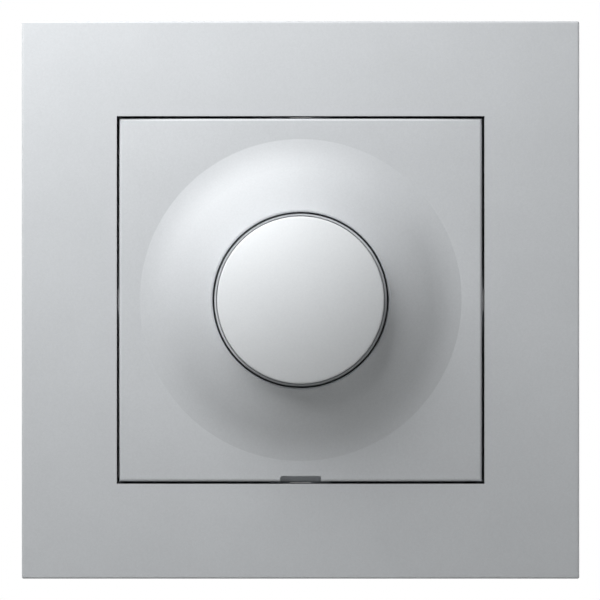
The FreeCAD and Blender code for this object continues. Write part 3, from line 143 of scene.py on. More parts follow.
@dataclass(frozen=True)
class Finish:
    """A surface finish whose gloss and relief vary with a fine noise and its colour with a slow one.

    The two spans are the noise's values at which the tones and the roughness reach their ends.
    """

    name: str
    slot: str
    light: str
    dark: str
    metallic: float = 0.0
    roughness: float = 0.5
    gloss_spread: float = 0.05
    grain: Grain = Grain.EVEN
    grain_mm: float = 0.3
    relief_mm: float = 0.004
    relief_strength: float = 0.4
    cloud_mm: float = 9.0
    tone_span: tuple[float, float] = (0.3, 0.7)
    gloss_span: tuple[float, float] = (0.25, 0.75)

    def place(self, tree: Tree) -> Socket:
        """The coordinates of a point on the object, in metres."""
        return add_node(tree, "TexCoord").outputs["Object"]

    def noise(self, tree: Tree, size_mm: float, grain: Grain = Grain.EVEN, detail: float = 3.0) -> Socket:
        """A noise whose features have a real size.

        Args:
            tree: The material's node tree.
            size_mm: The size of one feature.
            grain: The way the features are drawn out.
            detail: How many finer layers the noise has.

        Returns:
            The noise's factor output.
        """
        spread = add_node(tree, "Mapping", {"Vector": self.place(tree), "Scale": grain.value})
        scale = 1.0 / (size_mm * MM)
        return add_node(tree, "TexNoise", {
            "Vector": spread.outputs["Vector"], "Scale": scale, "Detail": detail}).outputs["Fac"]

    def clouds(self, tree: Tree) -> Socket:
        """The slow noise that parts the light tone from the dark one."""
        return self.noise(tree, self.cloud_mm, detail=2.0)

    def shade(self, tree: Tree, factor: Socket) -> Socket:
        """The base colour, between the dark and the light tone.

        Args:
            tree: The material's node tree.
            factor: A value that grows from the dark tone to the light one.

        Returns:
            The colour output.
        """
        ramp = add_node(tree, "ValToRGB", {"Fac": factor})
        for end, tone, position in zip(ramp.color_ramp.elements, (self.dark, self.light), self.tone_span):
            end.color = srgb(tone)
            end.position = position
        return ramp.outputs["Color"]

    def relief(self, tree: Tree, height: Socket) -> Socket:
        """A bump normal from a height.

        Args:
            tree: The material's node tree.
            height: The height, from 0 to 1.

        Returns:
            The normal output.
        """
        return add_node(tree, "Bump", {
            "Height": height, "Distance": self.relief_mm * MM,
            "Strength": self.relief_strength}).outputs["Normal"]

    def gloss(self, tree: Tree, factor: Socket) -> Socket:
        """A roughness that varies about the finish's own.

        Args:
            tree: The material's node tree.
            factor: A value that grows with the roughness.

        Returns:
            The roughness output.
        """
        return add_node(tree, "MapRange", {
            "Value": factor, "From Min": self.gloss_span[0], "From Max": self.gloss_span[1],
            "To Min": self.roughness - self.gloss_spread,
            "To Max": self.roughness + self.gloss_spread}).outputs["Result"]

    def dress(self, tree: Tree, shader: bpy.types.Node) -> None:
        """Link the colour, gloss and relief to the shader.

        Args:
            tree: The material's node tree.
            shader: Its Principled BSDF.
        """
        fine = self.noise(tree, self.grain_mm, self.grain)
        cloud = self.clouds(tree)
        tree.links.new(self.shade(tree, cloud), shader.inputs["Base Color"])
        tree.links.new(self.gloss(tree, fine), shader.inputs["Roughness"])
        tree.links.new(self.relief(tree, fine), shader.inputs["Normal"])

    def material(self) -> bpy.types.Material:
        """Build the finish once and hand out the same material each time.

        Returns:
            The finish's material.
        """
        known = bpy.data.materials.get(self.name)
        if known:
            return known
        material = bpy.data.materials.new(self.name)
        material.use_nodes = True
        tree = material.node_tree
        shader = tree.nodes["Principled BSDF"]
        shader.inputs["Metallic"].default_value = self.metallic
        self.dress(tree, shader)
        return material


@dataclass(frozen=True)
class Lacquer(Finish):
    """Silver lacquer over moulded plastic: flakes glint in a clear film with a slight orange peel.

    Real flakes are some 0.03 mm across, too fine to show, so they are drawn coarser.
    """

    flake_mm: float = 0.22
    flake_share: float = 0.07
    middle_tone: float = 0.5
    peel_mm: float = 1.4

    def dress(self, tree: Tree, shader: bpy.types.Node) -> None:
        """Mix flake tones into the colour and lay the peel's relief.

        Args:
            tree: The material's node tree.
            shader: Its Principled BSDF.
        """
        scale = 1.0 / (self.flake_mm * MM)
        flakes = add_node(tree, "TexVoronoi", {"Vector": self.place(tree), "Scale": scale})
        cloud = self.clouds(tree)
        tone = add_node(tree, "MapRange", {
            "Value": flakes.outputs["Color"], "To Min": self.middle_tone - self.flake_share,
            "To Max": self.middle_tone + self.flake_share})
        drift = add_node(tree, "MapRange", {
            "Value": cloud, "To Min": -self.flake_share, "To Max": self.flake_share})
        mixed = add_node(tree, "Math", {
            0: tone.outputs["Result"], 1: drift.outputs["Result"]}, operation="ADD")
        peel = self.noise(tree, self.peel_mm, detail=1.0)
        tree.links.new(self.shade(tree, mixed.outputs["Value"]), shader.inputs["Base Color"])
        tree.links.new(self.gloss(tree, flakes.outputs["Color"]), shader.inputs["Roughness"])
        tree.links.new(self.relief(tree, peel), shader.inputs["Normal"])


@dataclass(frozen=True)
class Zoned(Finish):
    """A finish that gives way to a second colour and metal past some levels, counted backwards."""

    other: str = "#000000"
    other_metallic: float = 0.0
    edges_mm: tuple[float, ...] = ()

    def zone(self, tree: Tree) -> Socket:
        """1 where the second finish shows: from each odd edge back to the next even one.

        Args:
            tree: The material's node tree.

        Returns:
            The output that is 1 or 0.
        """
        parts = add_node(tree, "SeparateXYZ", {"Vector": self.place(tree)})
        level = parts.outputs["Y"]
        total = None
        for number, edge in enumerate(self.edges_mm):
            sign = 1.0 if number % 2 == 0 else -1.0
            past = add_node(tree, "Math", {
                0: level, 1: edge * MM}, operation="GREATER_THAN").outputs["Value"]
            signed = add_node(tree, "Math", {0: past, 1: sign}, operation="MULTIPLY").outputs["Value"]
            total = signed if total is None else add_node(
                tree, "Math", {0: total, 1: signed}, operation="ADD").outputs["Value"]
        return total

    def dress(self, tree: Tree, shader: bpy.types.Node) -> None:
        """Dress as the base finish does and then mix in the second colour and metal.

        Args:
            tree: The material's node tree.
            shader: Its Principled BSDF.
        """
        super().dress(tree, shader)
        zone = self.zone(tree)
        base = shader.inputs["Base Color"].links[0].from_socket
        mix = add_node(tree, "Mix", {
            "Factor": zone, MIX_FIRST: base, MIX_SECOND: srgb(self.other)}, data_type="RGBA")
        tree.links.new(mix.outputs[MIX_RESULT], shader.inputs["Base Color"])
        metal = add_node(tree, "MapRange", {
            "Value": zone, "To Min": self.metallic, "To Max": self.other_metallic})
        tree.links.new(metal.outputs["Result"], shader.inputs["Metallic"])


# Silver metallic lacquer on moulded ABS: bright, slightly cool, satin, with no clear mirror image
SILVER = Lacquer("silver_lacquered_abs", "silver_cover", "#c9cccf", "#b9bcbf",
                 roughness=0.55, gloss_spread=0.04, relief_strength=0.25)
# Painted light on the knob: the plate's same silver lacquer made lighter, standing in for the extra light
# and sheen that its domed face catches, so that it reads lighter than the plate
KNOB_SILVER_PAINTED_LIGHT = Lacquer("silver_lacquer_painted_lighter", "silver_cover", "#dfe2e4", "#d2d5d8",
                      gloss_spread=0.04, relief_strength=0.25, flake_share=0.06)
# Blue-passivated zinc on cold-rolled steel: bright grey metal with soft clouds and rolling lines
ZINC = Finish("zinc_plated_steel", "zinc_steel", "#c3c7cc", "#a9adb2", metallic=1.0, roughness=0.34,
              grain=Grain.ACROSS, grain_mm=0.25, relief_mm=0.003, cloud_mm=6.0)
# Oil-hardened spring steel: darker grey with a bluish cast
SPRING = Finish("blued_spring_steel", "spring_steel", "#9a9da3", "#7c8087", metallic=1.0, roughness=0.36,
                grain=Grain.FORWARD, grain_mm=0.2, relief_mm=0.003, cloud_mm=4.0)
# Mill-finished aluminium sheet: pale metal with straight rolling lines
ALUMINIUM = Finish("rolled_aluminium", "sink_aluminium", "#d2d4d6", "#bcbec0", metallic=1.0, roughness=0.38,
                   grain=Grain.UPRIGHT, grain_mm=0.25, relief_mm=0.004, cloud_mm=8.0)
# Grey thermoset moulding from a spark-eroded mould: dull grey with a fine leathery grain
THERMOSET = Finish("grey_thermoset", "housing_plastic", "#73777a", "#676b6e", roughness=0.55,
                   grain_mm=0.35, relief_mm=0.012, relief_strength=0.5, cloud_mm=12.0)
# Turned brass: bright yellow metal with a fine, even tool grain
BRASS = Finish("turned_brass", "bush_brass", "#d8b56a", "#c49c50", metallic=1.0, roughness=0.27,
               grain_mm=0.15, relief_mm=0.002, cloud_mm=3.0)
# Natural acetal: milky white and slightly waxy
ACETAL = Finish("natural_acetal", "shaft_plastic", "#e9e6dd", "#dedacf", roughness=0.42,
                grain_mm=0.4, relief_mm=0.003, cloud_mm=5.0)
# Black polyamide: dark with a soft sheen
POLYAMIDE = Finish("black_polyamide", "control_plastic", "#1e1f21", "#161719", roughness=0.45,
                   grain_mm=0.25, relief_mm=0.006, cloud_mm=5.0)
# Phenolic laminate: brown paper layers under resin
PHENOLIC = Finish("phenolic_laminate", "track_laminate", "#6f4a28", "#553418", roughness=0.4,
                  grain=Grain.ACROSS, grain_mm=0.3, relief_mm=0.004, cloud_mm=2.0)
# Tinned bronze: pale soft metal
TIN_TONE = "#c9c7bf"
TINNED = Finish("tinned_bronze", "tinned_metal", TIN_TONE, "#b3b1a9", metallic=1.0, roughness=0.33,
                grain_mm=0.2, relief_mm=0.002, cloud_mm=2.0)
# Hard paper board: tan, with paper fibres under the resin
HARD_PAPER = Finish("hard_paper_board", "board_laminate", "#b08f4e", "#967539", roughness=0.42,
                    grain=Grain.ACROSS, grain_mm=0.5, relief_mm=0.004, cloud_mm=3.0)
# Pressed iron powder: dark, matt and grainy
IRON_POWDER = Finish("pressed_iron_powder", "ferrite", "#3d4240", "#2b2f2e", roughness=0.68,
                     grain_mm=0.15, relief_mm=0.015, relief_strength=0.6, cloud_mm=1.0)
# Enamelled copper wire: red-brown metal under a clear varnish
COPPER_WIRE = Finish("enamelled_copper_wire", "enamel_copper", "#b8652f", "#9c4d20", metallic=1.0,
                     roughness=0.24, grain_mm=0.3, relief_mm=0.001, cloud_mm=2.0)
# Silicone pad: matt grey rubber
SILICONE = Finish("grey_silicone_rubber", "pad_grey", "#8f9293", "#858889", roughness=0.7,
                  grain_mm=0.3, relief_mm=0.004, cloud_mm=4.0)
# Trimmer case and dial: glossy blue and matt white mouldings
TRIMMER_CASE = Finish("blue_moulded_polyester", "trimmer_blue", "#1f4f9c", "#194284", roughness=0.3,
                      grain_mm=0.3, relief_mm=0.003, cloud_mm=3.0)
TRIMMER_DIAL = Finish("white_moulded_polyester", "trimmer_white", "#ecebe6", "#e0dfd9", roughness=0.4,
                      grain_mm=0.3, relief_mm=0.003, cloud_mm=3.0)


def board_zone(name: str, slot: str, light: str, dark: str, edges: tuple[float, ...],
               **settings: Any) -> Zoned:
    """A part of the circuit board whose wires are tinned.

    Args:
        name: The material's name.
        slot: The record's material slot.
        light: The body's light tone.
        dark: The body's dark tone.
        edges: Levels between which the wires or the tab show, in millimetres backwards.
        settings: Other fields of the finish.

    Returns:
        The finish.
    """
    return Zoned(name, slot, light, dark, other=TIN_TONE, other_metallic=1.0, edges_mm=edges, **settings)


# Filled epoxy body of the triac, with its tinned copper tab and legs
TRIAC = board_zone("black_epoxy_and_tab", "triac_black", "#1c1c1e", "#141416", (-1.0, 10.7, 19.7),
                   roughness=0.4, grain_mm=0.2, relief_mm=0.006)
# Glossy polyester boxes of the two capacitors, with tinned wires behind them
NOISE_BOX = board_zone("yellow_polyester_box", "noise_yellow", "#e2b93a", "#d3a92c", (21.2,),
                       roughness=0.28, grain_mm=0.5, relief_mm=0.003)
TIMING_BOX = board_zone("red_polyester_box", "timing_red", "#a8322a", "#952820", (21.2,),
                        roughness=0.28, grain_mm=0.5, relief_mm=0.003)
# Lacquered carbon film resistors and a glass bead, with tinned wires behind them
RESISTOR = board_zone("tan_lacquered_ceramic", "resistor_tan", "#d9bd92", "#c9ab7e", (21.3,),
                      roughness=0.35, grain_mm=0.3, relief_mm=0.003)
DIAC = board_zone("blue_glass_bead", "diac_blue", "#4767b0", "#38579c", (21.3,),
                  roughness=0.12, grain_mm=0.3, relief_mm=0.001)
# Bright tin solder: smooth pale metal
SOLDER = Finish("tin_solder", "tinned_metal", "#d4d6d8", "#bfc1c3", metallic=1.0, roughness=0.25,
                grain_mm=0.3, relief_mm=0.003, cloud_mm=0.8)


def band(colour: str, light: str, dark: str) -> Finish:
    """A printed ring of gloss paint on a resistor, in one of the usual code colours."""
    return Finish(f"resistor_bands_{colour}", "resistor_tan", light, dark, roughness=0.3, grain_mm=0.3,
                  relief_mm=0.002)


# The bands' paints and their places along the body in millimetres
BANDS = ((band("brown", "#6a3b1f", "#5b3019"), -2.3), (band("black", "#1d1d1d", "#141414"), -1.1),
         (band("yellow", "#e0bd2a", "#d0ad1e"), -0.1), (band("gold", "#b3904a", "#a17f3b"), 2.3))

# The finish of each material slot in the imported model
FINISHES = (SILVER, ZINC, SPRING, ALUMINIUM, THERMOSET, BRASS, ACETAL, POLYAMIDE, PHENOLIC, TINNED,
            HARD_PAPER, IRON_POWDER, COPPER_WIRE, SILICONE, TRIMMER_CASE, TRIMMER_DIAL, TRIAC, NOISE_BOX,
            TIMING_BOX, RESISTOR, DIAC)


class Axis(Enum):
    """Which way a turned part's own axis points in the model, as the rows of a turn."""

    FORWARD = ((1, 0, 0), (0, 0, -1), (0, 1, 0))
    BACK = ((-1, 0, 0), (0, 0, 1), (0, 1, 0))
    UP = ((1, 0, 0), (0, 1, 0), (0, 0, 1))

    def at(self, across: float, forward: float, up: float) -> Matrix:
        """The change from a part's own millimetres to the model's, with its foot at a place."""
        return Matrix.Translation((across, -forward, up)) @ Matrix(self.value).to_4x4()


@dataclass(frozen=True)
class Room:
    """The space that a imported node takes, in millimetres across, forward and up."""

    low: Vector
    high: Vector

    @classmethod
    def of(cls, node: str) -> Room:
        """Read a node's space from the frame."""
        low, high = (Vector(corner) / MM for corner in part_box(node))
        return cls(Vector((low.x, -high.y, low.z)), Vector((high.x, -low.y, high.z)))

    @property
    def middle(self) -> Vector:
        """The middle of the space."""
        return (self.low + self.high) / 2


@dataclass(frozen=True)
class Ring:
    """One ring of a turned form: its radius, its place along the axis and how deep a thread cuts it."""

    radius: float
    along: float
    cut: float = 0.0


@dataclass(frozen=True)
class Thread:
    """A screw thread with flat crests and roots, each a share of the pitch wide."""

    pitch: float = 0.5
    depth: float = 0.3
    flat: float = 1 / 6
    rings_per_turn: int = 8

    def rings(self, radius: float, start: float, end: float) -> list[Ring]:
        """Rings along a threaded stretch, whose thread fades out over a turn at both ends.

        Args:
            radius: The crest's radius.
            start: Where the stretch begins along the axis.
            end: Where it ends.

        Returns:
            The rings in order.
        """
        count = math.ceil((end - start) / self.pitch * self.rings_per_turn)
        fades = [min(1.0, number / self.rings_per_turn, (count - number) / self.rings_per_turn)
                 for number in range(count + 1)]
        return [Ring(radius, start + (end - start) * number / count, self.depth * fade)
                for number, fade in enumerate(fades)]

    def groove(self, turns: float) -> float:
        """How deep the groove is, from 0 on a crest to 1 at a root, a number of turns along."""
        from_root = abs(2.0 * (turns % 1.0) - 1.0)
        return min(1.0, max(0.0, (1.0 - self.flat - from_root) / (1.0 - 2.0 * self.flat)))


@dataclass
class Shape:
    """A closed mesh in the making, in millimetres in the model's frame."""

    name: str
    build: bmesh.types.BMesh = field(default_factory=bmesh.new)

    def skin(self, rings: list[list[Vector]], loop: bool = False) -> None:
        """Stretch faces from ring to ring.

        Args:
            rings: Rings of points in order, all with as many points.
            loop: Joins the last ring to the first instead of closing both ends.
        """
        rows = [[self.build.verts.new(point) for point in ring] for ring in rings]
        for low, high in zip(rows, rows[1:] + rows[:1] if loop else rows[1:]):
            for here in range(len(low)):
                self.build.faces.new((low[here - 1], low[here], high[here], high[here - 1]))
        if not loop:
            self.build.faces.new(rows[0])
            self.build.faces.new(rows[-1])

    def turn(self, rings: list[Ring], at: Matrix, steps: int = 48, thread: Thread = Thread(),
             loop: bool = False) -> None:
        """Turn rings about a part's own axis.

        Args:
            rings: The rings in order.
            at: The change from the part's own millimetres to the model's.
            steps: How many points a ring has.
            thread: The thread that the rings' cuts follow.
            loop: Joins the last ring to the first, for a form with a bore.
        """
        rows = []
        for ring in rings:
            row = []
            for step in range(steps):
                angle = math.tau * step / steps
                radius = ring.radius - ring.cut * thread.groove(ring.along / thread.pitch - step / steps)
                row.append(at @ Vector((radius * math.cos(angle), radius * math.sin(angle), ring.along)))
            rows.append(row)
        self.skin(rows, loop)

    def wire(self, path: list[Vector], radius: float, sides: int = 12) -> None:
        """Draw a round wire along a path.

        Args:
            path: The points of its middle line, in the model's millimetres.
            radius: The wire's radius.
            sides: How many points its section has.
        """
        aside = (path[1] - path[0]).orthogonal()
        rings = []
        for before, here, after in zip(path[:1] + path, path, path[1:] + path[-1:]):
            along = (after - before).normalized()
            aside = (aside - along * aside.dot(along)).normalized()
            other = along.cross(aside)
            angles = [math.tau * side / sides for side in range(sides)]
            rings.append([here + (aside * math.cos(a) + other * math.sin(a)) * radius for a in angles])
        self.skin(rings)

    def block(self, low: Vector, high: Vector, at: Matrix) -> None:
        """Add a box between two corners in a part's own millimetres."""
        corners = ((low.x, low.y), (high.x, low.y), (high.x, high.y), (low.x, high.y))
        self.skin([[at @ Vector((x, y, along)) for x, y in corners] for along in (low.z, high.z)])

    def raw(self) -> bpy.types.Object:
        """Make the object, with its faces outwards and in metres.

        Returns:
            The object, without a finish.
        """
        bmesh.ops.recalc_face_normals(self.build, faces=self.build.faces)
        mesh = bpy.data.meshes.new(self.name)
        self.build.to_mesh(mesh)
        self.build.free()
        mesh.transform(Matrix.Scale(MM, 4))
        piece = bpy.data.objects.new(self.name, mesh)
        bpy.context.scene.collection.objects.link(piece)
        return piece

    def carve(self, cutter: Shape) -> None:
        """Cut another shape's form out of this one.

        Args:
            cutter: The shape that is taken away, which is used up.
        """
        piece, tool = self.raw(), cutter.raw()
        modifier = piece.modifiers.new("carve", "BOOLEAN")
        modifier.object = tool
        modifier.solver = "EXACT"
        bpy.context.view_layer.update()
        carved = piece.evaluated_get(bpy.context.evaluated_depsgraph_get()).to_mesh()
        self.build = bmesh.new()
        self.build.from_mesh(carved)
        self.build.transform(Matrix.Scale(1 / MM, 4))
        for used in (piece, tool):
            bpy.data.objects.remove(used)

    def piece(self, finish: Finish, body: str, *replaced: str, sharp: float = 30.0) -> bpy.types.Object:
        """Finish the piece and tie it to the frame.

        Args:
            finish: Its surface finish.
            body: The body that it moves with.
            replaced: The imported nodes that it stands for.
            sharp: The turn between faces, in degrees, from which their edge shows.

        Returns:
            The finished object.
        """
        piece = self.raw()
        piece.data.shade_smooth()
        piece.data.set_sharp_from_angle(angle=math.radians(sharp))
        piece.data.materials.append(finish.material())
        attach(piece, body)
        if replaced:
            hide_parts(*replaced)
        LOG.info("%s: %d faces, %s", self.name, len(piece.data.polygons), finish.name)
        return piece


@dataclass(frozen=True)
class SlottedScrew:
    """A slotted screw, whose own axis runs from the head's face to the tip."""

    shank: float
    head: float
    head_height: float
    head_edge: float = 0.3
    plain: float = 0.3
    tip: float = 0.4
    slot: float = 0.6
    slot_depth: float = 0.7
    cutter_clear: float = 1.0
    thread: Thread = Thread()

    def draw(self, shape: Shape, length: float, at: Matrix) -> None:
        """Turn the screw.

        Args:
            shape: The mesh that gets it.
            length: Its length from the head's face to the tip.
            at: The change from the screw's own millimetres to the model's.
        """
        rings = [Ring(self.head - self.head_edge, 0.0), Ring(self.head, self.head_edge),
                 Ring(self.head, self.head_height), Ring(self.shank, self.head_height)]
        rings += self.thread.rings(self.shank, self.head_height + self.plain, length - self.tip)
        rings.append(Ring(self.shank - self.tip, length))
        shape.turn(rings, at, thread=self.thread)

    def notch(self, shape: Shape, at: Matrix) -> None:
        """Add the block that cuts the driver slot.

        Args:
            shape: The mesh that gets it.
            at: The change from the screw's own millimetres to the model's.
        """
        reach, half = self.head + self.cutter_clear, self.slot / 2
        shape.block(Vector((-reach, -half, -self.cutter_clear)), Vector((reach, half, self.slot_depth)), at)


@dataclass
class Screws:
    """The threaded screws: two for the claws, two for the housing and three for the terminals."""

    claw: SlottedScrew = SlottedScrew(shank=1.5, head=2.3, head_height=1.6, head_edge=0.5)
    housing: SlottedScrew = SlottedScrew(shank=1.2, head=2.2, head_height=1.6, plain=14.0,
                                         thread=Thread(0.45, 0.24))
    terminal: SlottedScrew = SlottedScrew(shank=1.5, head=2.0, head_height=1.5)
    terminal_count: int = 3

    def make(self, screw: SlottedScrew, name: str, body: str, node: str, length: float,
             places: list[Matrix]) -> None:
        """Make one node's screws as one piece.

        Args:
            screw: Its form.
            name: The piece's name.
            body: The body that it moves with.
            node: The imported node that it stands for.
            length: Its length.
            places: One change of frame for each screw.
        """
        shape, notches = Shape(name), Shape(f"{name}_slots")
        for place in places:
            screw.draw(shape, length, place)
            screw.notch(notches, place)
        shape.carve(notches)
        shape.piece(ZINC, body, node)

    def build(self) -> None:
        """Build all the screws."""
        for side in ("right", "left"):
            room = Room.of(f"claw_screw_{side}")
            place = Axis.BACK.at(room.middle.x, room.high.y, room.middle.z)
            self.make(self.claw, f"threaded_claw_screw_{side}", f"{side}_claw_screw", f"claw_screw_{side}",
                      room.high.y - room.low.y, [place])
        room = Room.of("housing_screws")
        aside, level = room.high.x - self.housing.head, room.high.z - self.housing.head
        places = [Axis.FORWARD.at(way * aside, room.low.y, -way * level) for way in (-1, 1)]
        self.make(self.housing, "threaded_housing_screws", "fixed", "housing_screws",
                  room.high.y - room.low.y, places)
        for number in range(1, self.terminal_count + 1):
            room = Room.of(f"terminal_screw_{number}")
            place = Axis.UP.at(room.middle.x, room.middle.y, room.low.z)
            self.make(self.terminal, f"threaded_terminal_screw_{number}", f"cage_screw_{number}",
                      f"terminal_screw_{number}", room.high.z - room.low.z, [place])


@dataclass
class KnobFace:
    """The knob's lacquered skin: a dome with a small round edge and a straight side.

    It lies the lacquer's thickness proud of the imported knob, and its first ring is a small flat in
    the middle, so that the dome shades evenly there.
    """

    radius: float = 12.4
    crown: float = 2.1
    edge: float = 0.35
    side: float = 6.0
    lacquer: float = 0.02
    wall: float = 0.3
    flat: float = 0.25
    dome_rings: int = 28
    edge_rings: int = 8
    steps: int = 144

    def outside(self, top: float, inset: float) -> list[Ring]:
        """The rings of a skin from near its middle to the foot of its side.

        Args:
            top: The level of its middle.
            inset: How far it lies inside the outermost skin.

        Returns:
            The rings in order.
        """
        reach, edge = self.radius + self.lacquer - inset, self.edge
        sphere = (self.radius ** 2 + self.crown ** 2) / (2 * self.crown)
        turn = math.asin((reach - edge) / (sphere - edge))
        first = math.asin(self.flat / sphere)
        rings = []
        for number in range(self.dome_rings + 1):
            slope = first + (turn - first) * number / self.dome_rings
            rings.append(Ring(sphere * math.sin(slope), top - sphere * (1.0 - math.cos(slope))))
        centre = top - sphere + (sphere - edge) * math.cos(turn)
        for number in range(1, self.edge_rings + 1):
            slope = turn + (math.pi / 2 - turn) * number / self.edge_rings
            rings.append(Ring(reach - edge + edge * math.sin(slope), centre + edge * math.cos(slope)))
        return rings

    def build(self) -> None:
        """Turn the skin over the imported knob."""
        front = Room.of("rotary_knob").high.y
        foot = front - self.crown - self.side
        outside = self.outside(front + self.lacquer, 0.0)
        inside = self.outside(front + self.lacquer - self.wall, self.wall)
        rings = inside + [Ring(inside[-1].radius, foot), Ring(outside[-1].radius, foot)] + outside[::-1]
        shape = Shape("lacquered_knob_face")
        shape.turn(rings, Axis.FORWARD.at(0.0, 0.0, 0.0), steps=self.steps)
        # The skin gets the lighter copy of the silver, whose extra lightness is painted light
        shape.piece(KNOB_SILVER_PAINTED_LIGHT, "knob", sharp=45.0)


@dataclass
class ControlBush:
    """The threaded brass bush that carries the spindle."""

    radius: float = 5.0
    flange: float = 6.5
    flange_height: float = 1.2
    bore: float = 3.06
    lead: float = 0.4
    steps: int = 64
    thread: Thread = Thread(0.75, 0.42)

    def build(self) -> None:
        """Build the bush with its bore."""
        room = Room.of("control_bush")
        back, front = room.low.y, room.high.y
        shoulder = back + self.flange_height
        rings = [Ring(self.bore, back), Ring(self.flange, back), Ring(self.flange, shoulder),
                 Ring(self.radius, shoulder)]
        rings += self.thread.rings(self.radius, shoulder + self.lead, front - self.lead)
        rings += [Ring(self.radius - self.lead, front), Ring(self.bore, front)]
        shape = Shape("threaded_control_bush")
        shape.turn(rings, Axis.FORWARD.at(0.0, 0.0, 0.0), self.steps, self.thread, loop=True)
        shape.piece(BRASS, "fixed", "control_bush")


@dataclass
class ChokeWinding:
    """Enamelled wire wound round the choke's ring core, with both ends led back through the board."""

    wire: float = 0.3
    sides: int = 10
    turns: float = 18.5
    points_per_turn: int = 24
    core_band: float = 2.0
    core_gap: float = 0.06
    squareness: float = 6.0
    first: float = math.radians(-65.0)
    last: float = math.radians(245.0)
    tail: float = 2.6

    def around(self, turn: float, half_width: float, half_height: float) -> tuple[float, float]:
        """A point of a turn round the core's section.

        Args:
            turn: How many turns along it lies.
            half_width: Half the turn's width.
            half_height: Half its height.

        Returns:
            Its distances outwards and forwards from the section's middle.
        """
        out, forward = math.cos(math.tau * turn), math.sin(math.tau * turn)
        size = (abs(out) ** self.squareness + abs(forward) ** self.squareness) ** (1 / self.squareness)
        return half_width * out / size, half_height * forward / size

    def build(self) -> None:
        """Wind the wire."""
        core = Room.of("choke_core")
        outer = (core.high.x - core.low.x) / 2
        half_width = self.core_band / 2 + self.wire + self.core_gap
        half_height = (core.high.y - core.low.y) / 2 + self.wire + self.core_gap
        path = []
        for number in range(round(self.turns * self.points_per_turn) + 1):
            turn = number / self.points_per_turn
            angle = self.first + (self.last - self.first) * turn / self.turns
            out, forward = self.around(turn, half_width, half_height)
            reach = outer - self.core_band / 2 + out
            path.append(Vector((core.middle.x + reach * math.cos(angle), -(core.middle.y + forward),
                                core.middle.z + reach * math.sin(angle))))
        behind = self.tail - core.low.y
        ends = [Vector((point.x, behind, point.z)) for point in (path[0], path[-1])]
        shape = Shape("wound_choke_wire")
        shape.wire(ends[:1] + path + ends[1:], self.wire, self.sides)
        shape.piece(COPPER_WIRE, "fixed", "choke_winding", sharp=60.0)


@dataclass
class SliderSpring:
    """The round wire return spring with closed ends, which shortens as the slider goes back."""

    radius: float = 2.0
    wire: float = 0.25
    turns: float = 4.0
    closed: float = 0.5
    points_per_turn: int = 36
    travel: float = 1.5

    def build(self) -> None:
        """Coil the spring, with a closed half turn at each end."""
        room = Room.of("slider_spring")
        length = room.high.y - room.low.y
        path = []
        for number in range(round(self.turns * self.points_per_turn) + 1):
            turn = number / self.points_per_turn
            share = min(1.0, max(0.0, (turn - self.closed) / (self.turns - 2 * self.closed)))
            level = room.low.y + self.wire + (length - 2 * self.wire) * share
            angle = math.tau * turn
            path.append(Vector((self.radius * math.cos(angle), -level, self.radius * math.sin(angle))))
        shape = Shape("coiled_slider_spring")
        shape.wire(path, self.wire)
        spring = shape.piece(SPRING, "fixed", "slider_spring", sharp=60.0)
        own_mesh(spring)


